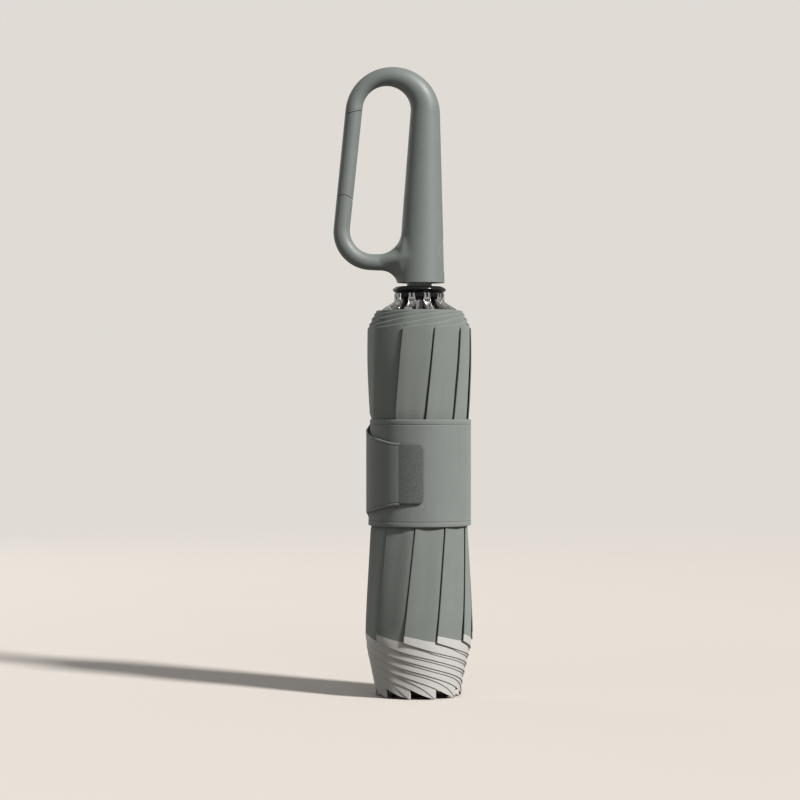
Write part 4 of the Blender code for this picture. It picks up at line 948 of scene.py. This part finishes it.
BOW_SWELL = 0.35
BOW_SWELL_TOP = (0.1992, -0.0015)
BOW_SWELL_FOOT = (0.190, 0.004)
BOW_DEEPENS = (0.1975, -0.003)
BOW_HOLLOWS = (0.1976, -0.0012)
NOTCH_BOTTOM = 0.1987
NOTCH_HALF_WIDTH = 0.48 * MM
EYE_CENTRE = Vector((0.0127, 0.1930))
EYE_RADIUS = 1.35 * MM
EYE_FOOT = 0.18825
EYE_HALF_DEPTH = 0.55 * MM
# A rivet's height over the eye and its radius, both in mm
RIVET = ((0, 0.75), (0.2, 0.7), (0.32, 0.45))


def rail_stations():
    """(height, half width in mm) up the rail on the runner's front, with a rounded top and four grooves."""
    stations = [(0.1862, 2.05)]
    for i in range(4):
        low = 0.1885 + 2.0 * MM * i
        stations += [(low, 2.05), (low + 0.12 * MM, 1.8), (low + 0.45 * MM, 1.8), (low + 0.57 * MM, 2.05)]
    return stations + [(0.1963, 2.05), (0.1968, 1.95), (0.1971, 1.7), (0.19735, 1.2)]


def bored_lathe(name, profile, sides, material, smooth_angle=40):
    """A turned piece with a bore for the shaft."""
    profile = [(SHAFT_BORE, profile[0][1])] + profile + [(SHAFT_BORE, profile[-1][1])]
    return lathe(name, profile, sides, material, closed=True, smooth_angle=smooth_angle)


def make_runner():
    """The bevelled disc, the toothed hub under it that the forks straddle, and the hub's sleeve."""
    disc = [(CAP_RADIUS - 2.0 * MM, CAP_BOTTOM)]
    disc += [(CAP_RADIUS - inset * MM, mix(CAP_BOTTOM, CAP_TOP, share)) for inset, share in CAP_BEVEL]
    disc += [(0.0075, CAP_TOP), (0.0071, CAP_TOP - 0.25 * MM)]
    disc = bored_lathe("runner_disc", disc, 128, BLACK, 50)
    settle(disc, "canopy_frame", "gloss_black_plastic", "runner_cap")
    teeth = [(HUB_RADIUS - 0.3 * MM, HUB_BOTTOM), (HUB_RADIUS, HUB_BOTTOM + 0.3 * MM), (HUB_RADIUS, HUB_TOP)]
    hub = bored_lathe("runner_teeth", teeth, 120, BLACK)
    for turned in RIB_TURNS:
        for side in (-GROOVE_OFFSET, GROOVE_OFFSET):
            groove = box_mesh("groove", (side - GROOVE_HALF_WIDTH, -0.0140, 0.1970),
                              (side + GROOVE_HALF_WIDTH, -0.0100, 0.2030))
            groove.transform(turned)
            cut(hub, groove)
    hub.data.set_sharp_from_angle(angle=radians(35))
    settle(hub, "canopy_frame", "gloss_black_plastic", "runner_hub")
    sleeve = [(SLEEVE_RADIUS - 0.3 * MM, SLEEVE_BOTTOM), (SLEEVE_RADIUS, SLEEVE_BOTTOM + 0.3 * MM),
              (SLEEVE_RADIUS, SLEEVE_TOP)]
    settle(bored_lathe("runner_sleeve", sleeve, 72, BLACK, 30), "canopy_frame", "gloss_black_plastic")
    rings = []
    for z, half in rail_stations():
        side, front = half * MM, (half - 0.3) * MM
        outline = ((-side, RAIL_BACK), (side, RAIL_BACK), (side, RAIL_FRONT - 0.25 * MM),
                   (front, RAIL_FRONT), (-front, RAIL_FRONT), (-side, RAIL_FRONT - 0.25 * MM))
        rings.append([Vector((x, -y, z)) for x, y in outline])
    rail = make_object("runner_rail", ring_mesh("runner_rail", rings), GREY, 35)
    settle(rail, "canopy_frame", "gloss_black_plastic")


def smooth_path(points, steps):
    """A path through (radius, height) points, rounded by chord length."""
    points = [Vector(p) for p in points]
    lengths = [0.0]
    for a, b in zip(points, points[1:]):
        lengths.append(lengths[-1] + (b - a).length)
    radius = curve_through(lengths, [p.x for p in points])
    height = curve_through(lengths, [p.y for p in points])
    return [Vector((float(radius(d)), float(height(d)))) for d in np.linspace(0, lengths[-1], steps)]


def bow_section(height):
    """The bow's (across, deep) points at a height: a flat plate at the fork, and a channel below it."""
    swell = BOW_SWELL * float(ramp(height, *BOW_SWELL_TOP)) * float(ramp(height, *BOW_SWELL_FOOT))
    wide = (BOW_HALF_WIDTH + swell) * MM
    depth = mix(1.5, 2.0, float(ramp(height, *BOW_DEEPENS))) * MM
    hollow = mix(0.12 * MM, depth - BOW_WALL, float(ramp(height, *BOW_HOLLOWS)))
    inside, lip = wide - BOW_WALL, BOW_LIP
    half = [(inside - lip, hollow), (inside, hollow - lip / 2), (inside, lip), (inside + lip, 0),
            (wide - lip, 0), (wide, lip), (wide, depth - 2 * lip), (wide - 2 * lip, depth)]
    mirrored = [(-across, deep) for across, deep in reversed(half)]
    return mirrored[2:] + half + mirrored[:2]


def bow_rings(path):
    """The bow's section, swept down a path of (radius, height) at the front."""
    rings = []
    for i, point in enumerate(path):
        along = (path[min(i + 1, len(path) - 1)] - path[max(i - 1, 0)]).normalized()
        inward = Vector((along.y, -along.x))
        places = [(across, point + inward * deep) for across, deep in bow_section(point.y)]
        rings.append([Vector((across, -place.x, place.y)) for across, place in places])
    return rings


def settle_copies(shared, name, node=None):
    """Turns a copy of a steel mesh to every rib, and names the numbered node that it stands for, if any."""
    for i, turned in enumerate(RIB_TURNS):
        mesh = shared.copy()
        mesh.transform(turned)
        piece = make_object(f"{name}_{i + 1:02d}", mesh, STEEL, 35)
        settle(piece, "canopy_frame", "plated_steel", *([f"{node}_{i + 1:02d}"] if node else []))


def make_stretchers():
    """The forked bows: a flat plate at the fork that opens into a channel with two flanges."""
    path = smooth_path(BOW_PATH, 46) + [Vector((BOW_PATH[-1][0], z)) for z in BOW_LOW]
    bow = make_object("bow", ring_mesh("bow", bow_rings(path)), STEEL)
    low, high = (-NOTCH_HALF_WIDTH, -0.0140, NOTCH_BOTTOM), (NOTCH_HALF_WIDTH, -0.0090, 0.2030)
    cut(bow, box_mesh("notch", low, high))
    shared = bow.data
    bpy.data.objects.remove(bow, do_unlink=True)
    settle_copies(shared, "stretcher_bow", "stretcher")


def make_rib_eyes():
    """The round eyes on top of the inner ribs, pinned between the bows."""
    outline = [(EYE_CENTRE.x + u, EYE_CENTRE.y + v) for u, v in arc_outline(EYE_RADIUS, 0, pi, 24)]
    outline = [(EYE_CENTRE.x + EYE_RADIUS, EYE_FOOT)] + outline + [(EYE_CENTRE.x - EYE_RADIUS, EYE_FOOT)]
    plates = [[Vector((side, -r, z)) for r, z in outline] for side in (-EYE_HALF_DEPTH, EYE_HALF_DEPTH)]
    meshes = [ring_mesh("eye", plates)]
    for side in (-1, 1):
        rings = []
        for rise, size in RIVET:
            across, size = side * (EYE_HALF_DEPTH + rise * MM), size * MM
            rings.append([Vector((across, -EYE_CENTRE.x - size * cos(t), EYE_CENTRE.y + size * sin(t)))
                          for t in around(16)])
        meshes.append(ring_mesh("rivet", rings))
    settle_copies(joined("eye", meshes), "rib_eye")


# Strap

BAND_BOTTOM = 0.0851
BAND_TOP = 0.1380
BAND_INNER = 0.02505
BAND_THICKNESS = 0.85 * MM
BAND_STITCH = 2.5 * MM
BAND_START = radians(-125)
BAND_END = radians(268)
BAND_LAP = 1.13 * MM
LAP_ZONE = np.radians((203, 30))
NARROW_ZONE = np.radians((238, 30))
SQUEEZE_LOW = 0.55 * MM
SQUEEZE_HIGH = 1.35 * MM
SQUEEZE_ZONE = (0.092, 0.034)
TAB_START = radians(-91.8)
TAB_END = radians(-22.5)
TAB_THICKNESS = 0.7 * MM
TAB_THICKENS = radians(30)
TAB_STITCH = 1.4 * MM
TAB_STAND_OFF = 0.22 * MM
PATCH_END = radians(4.4)
PATCH_BOTTOM = 0.0967
PATCH_TOP = 0.1261
PATCH_THICKNESS = 0.9 * MM
PATCH_CORNER = 2.3 * MM
PATCH_ROUND = 0.4 * MM
PATCH_LIFT = 0.05 * MM
PAD_THICKNESS = 0.25 * MM
PAD_INSET = 1.5 * MM
tab_top = curve_through(np.radians((-93, -86, -80, -72, -55.5, -41.5, -30, -21)),
                        (0.1332, 0.1323, 0.1313, 0.1302, 0.1288, 0.1275, 0.1266, 0.1263))
tab_bottom = curve_through(np.radians((-93, -72, -54, -40, -30, -21)),
                           (0.0911, 0.0919, 0.0934, 0.0947, 0.0955, 0.0959))


def squeeze(turn, z):
    """How far the strap pulls the bundle in, most on the left and near its top edge."""
    return mix(SQUEEZE_LOW, SQUEEZE_HIGH, ramp(z, *SQUEEZE_ZONE)) * (1 - np.sin(turn)) / 2


def tab_inner(turn):
    """The radius of the tab's inner face, which stands clear of the squeezed band."""
    stand_off = TAB_STAND_OFF * np.exp(-((turn + pi / 2) / radians(14)) ** 2)
    return BAND_INNER + BAND_LAP + stand_off - SQUEEZE_LOW * (1 - np.sin(turn)) / 2


def hem_stations(stitch):
    """Distances from a strip's edge that are close together at the edge and at its stitched line."""
    near = [d * MM for d in (0, 0.04, 0.1, 0.2, 0.35, 0.6, 0.9)]
    seam = [stitch + d * MM for d in (-0.35, -0.22, -0.14, -0.07, 0, 0.07, 0.14, 0.22, 0.35, 0.8)]
    return np.array([d for d in near if d < seam[0]] + seam)


def hem_relief(inset, stitch):
    """The outer face's height by distance from its edge: a soft hem and its stitched line."""
    hem = 0.04 * stitch * np.exp(-((inset - stitch * 0.5) / (stitch * 0.35)) ** 2)
    groove = -0.26 * MM * np.exp(-((inset - stitch) / (0.13 * MM)) ** 2)
    edge = -0.12 * stitch * (1 - np.clip(inset / (0.35 * MM), 0, 1)) ** 2
    return hem + groove + edge


def insets_across(near, span, count):
    """Distances across a strip, from those near its edge to the same ones near its other edge."""
    return np.concatenate((near, np.linspace(near[-1], span - near[-1], count)[1:-1], span - near[::-1]))


def strip_section(bottom, top, stitch, thickness):
    """(height, rise) round a hemmed strip's section, up its outer face and down its inner one."""
    inset = insets_across(hem_stations(stitch), top - bottom, 22)
    outer = thickness + hem_relief(np.minimum(inset, top - bottom - inset), stitch)
    inner = (bottom + inset)[::-1][::4]
    return np.concatenate((bottom + inset, inner)), np.concatenate((outer, np.zeros(len(inner))))


def strip_object(name, mesh, material):
    """An object with a UV map in metres from the turn round the shaft and the height."""
    layer = mesh.uv_layers.new(name=CLOTH_UV)
    for polygon in mesh.polygons:
        middle = atan2(polygon.center.x, -polygon.center.y)
        for loop in polygon.loop_indices:
            p = mesh.vertices[mesh.loops[loop].vertex_index].co
            turn = atan2(p.x, -p.y)
            turn -= 2 * pi * round((turn - middle) / (2 * pi))
            layer.data[loop].uv = (turn * BAND_INNER, p.z)
    return make_object(name, mesh, material, 60)


def bent_ring(turn, heights, radii):
    return [polar(r, turn, z) for r, z in zip(radii, heights)]


def make_band():
    """The band winds once round the bundle and laps over its own start before it narrows to the tab."""
    rings = []
    for turn in np.linspace(BAND_START, BAND_END, 220):
        narrow = float(ramp(turn, *NARROW_ZONE))
        bottom = mix(BAND_BOTTOM, float(tab_bottom(TAB_START)), narrow)
        top = mix(BAND_TOP, float(tab_top(TAB_START)), narrow)
        stitch = mix(BAND_STITCH, TAB_STITCH, narrow)
        heights, rise = strip_section(bottom, top, stitch, mix(BAND_THICKNESS, TAB_THICKNESS, narrow))
        lap = BAND_LAP * float(ramp(turn, *LAP_ZONE))
        pulled = mix(squeeze(turn, heights), BAND_INNER + BAND_LAP - tab_inner(turn - 2 * pi), narrow)
        wave = 0.05 * MM * sin(3 * turn + 0.6) + 0.03 * MM * sin(7 * turn)
        rings.append(bent_ring(turn, heights, BAND_INNER + lap - pulled + rise + wave * (1 - narrow)))
    band = strip_object("strap_lap", ring_mesh("strap_lap", rings), STRAP)
    return settle(band, "canopy_frame", "strap_cloth", "strap_band")


def make_tab():
    """The tab, which narrows towards the patch and thickens to meet it."""
    rings = []
    for turn in np.linspace(TAB_START, TAB_END, 60):
        near_patch = float(ramp(turn, TAB_END - TAB_THICKENS, TAB_THICKENS))
        thickness = mix(TAB_THICKNESS, PATCH_THICKNESS + 0.02 * MM, near_patch)
        heights, rise = strip_section(float(tab_bottom(turn)), float(tab_top(turn)), TAB_STITCH, thickness)
        rings.append(bent_ring(turn, heights, tab_inner(turn) + rise))
    tab = strip_object("tab_strip", ring_mesh("tab_strip", rings), STRAP)
    return settle(tab, "strap_tab", "strap_cloth", "strap_tab")


def rounded_depth(u, z, width):
    """How far a point lies inside the patch's outline, whose two far corners are round."""
    across = np.abs(z - (PATCH_BOTTOM + PATCH_TOP) / 2) - (PATCH_TOP - PATCH_BOTTOM) / 2 + PATCH_CORNER
    along = u - width + PATCH_CORNER
    corner = np.hypot(np.maximum(across, 0), np.maximum(along, 0)) + np.minimum(np.maximum(across, along), 0)
    return PATCH_CORNER - corner


def make_patch():
    """The moulded patch on the tab's end, with rounded far corners and a soft edge."""
    start = TAB_END + 0.02 * MM / BAND_INNER
    width = (PATCH_END - start) * BAND_INNER
    close = np.array((0, 0.03, 0.09, 0.18, 0.3, 0.45)) * MM
    along = np.concatenate((close, np.linspace(close[-1], width - PATCH_CORNER, 12)[1:]))
    round_end = width - PATCH_CORNER * (1 - np.sin(np.linspace(0, pi / 2, 15)))[1:]
    rings = []
    for u in np.concatenate((along, round_end)):
        past = max(0.0, u - width + PATCH_CORNER)
        drop = PATCH_CORNER - np.sqrt(max(0.0, PATCH_CORNER ** 2 - past ** 2))
        low, high = PATCH_BOTTOM + drop, PATCH_TOP - drop
        heights = low + insets_across(close, high - low, 20)
        deep = rounded_depth(u, heights, width)
        left = 1 - np.clip(deep / PATCH_ROUND, 0, 1)
        outer = PATCH_THICKNESS - PATCH_ROUND * (1 - np.sqrt(1 - left ** 2))
        turn = start + u / BAND_INNER
        radius = tab_inner(turn) + PATCH_LIFT
        radii = np.concatenate((radius + outer, np.full(7, radius)))
        rings.append(bent_ring(turn, np.concatenate((heights, np.linspace(high, low, 7))), radii))
    patch = make_object("tab_patch", ring_mesh("tab_patch", rings), PATCH, 50)
    return settle(patch, "strap_tab", "rubber_patch", "strap_patch")


def make_pad(name, body, node, inner):
    """A hook or loop pad under the patch. inner gives its inner radius by turn and height."""
    heights = np.linspace(PATCH_BOTTOM + PAD_INSET, PATCH_TOP - PAD_INSET, 16)
    rings = []
    for turn in np.linspace(TAB_END + radians(4), PATCH_END - radians(4), 16):
        radii = inner(turn, heights)
        rings.append(bent_ring(turn, np.concatenate((heights, heights[::-1])),
                               np.concatenate((radii + PAD_THICKNESS, radii[::-1]))))
    settle(make_object(name, ring_mesh(name, rings), HOOK, 50), body, "hook_and_loop", node)


def make_pads():
    def on_band(turn, z):
        return BAND_INNER + BAND_THICKNESS - squeeze(turn, z) + 0.09 * MM

    def under_patch(turn, z):
        return np.full_like(z, tab_inner(turn) + 0.02 * MM - PAD_THICKNESS)

    make_pad("loop_face", "canopy_frame", "loop_pad", on_band)
    make_pad("hook_face", "strap_tab", "hook_pad", under_patch)


# The rest of the frame

KEPT_NODES = {
    "inner_rib": DARK_STEEL, "latch_plate": DARK_STEEL, "outer_rib": FIBRE, "crown": BLACK,
    "crown_cap": BLACK, "runner_wire": STEEL, "drive_spring": STEEL, "gate_spring": STEEL, "gate_pin": STEEL,
    "gate_plunger": STEEL, "button_spring": STEEL, "tube_pin": STEEL,
}
TUBE_WALL = 0.4 * MM
TUBE_EDGE = 0.08 * MM
# Each tube's CAD node, outer radius, bottom, top and body
TUBES = (
    ("inner_tube", 3.6 * MM, 0.0075, 0.214, "canopy_frame"),
    ("middle_tube", 4.3 * MM, 0.024, 0.224, "middle_shaft"),
    ("outer_tube", 5.0 * MM, 0.040, 0.240, "handle"),
)


def paint_nodes():
    """Gives the CAD nodes that stay in the model their materials."""
    for name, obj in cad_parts.items():
        kind = name.rstrip("0123456789").rstrip("_")
        if kind in KEPT_NODES:
            obj.data.materials.clear()
            obj.data.materials.append(KEPT_NODES[kind])


def make_tubes():
    for node, outer, bottom, top, body in TUBES:
        inner = outer - TUBE_WALL
        profile = [(inner, bottom), (outer - TUBE_EDGE, bottom), (outer, bottom + TUBE_EDGE),
                   (outer, top - TUBE_EDGE), (outer - TUBE_EDGE, top), (inner, top)]
        settle(lathe("shaft_" + node, profile, 64, STEEL, closed=True), body, "plated_steel", node)


add_camera()
add_lights()
add_world()
add_floor()
canopy = make_canopy()
trim = make_trim()
pockets = make_tip_pockets()
make_handle()
make_neck()
make_runner()
make_stretchers()
make_rib_eyes()
band = make_band()
tab = make_tab()
patch = make_patch()
make_pads()
make_tubes()
paint_nodes()
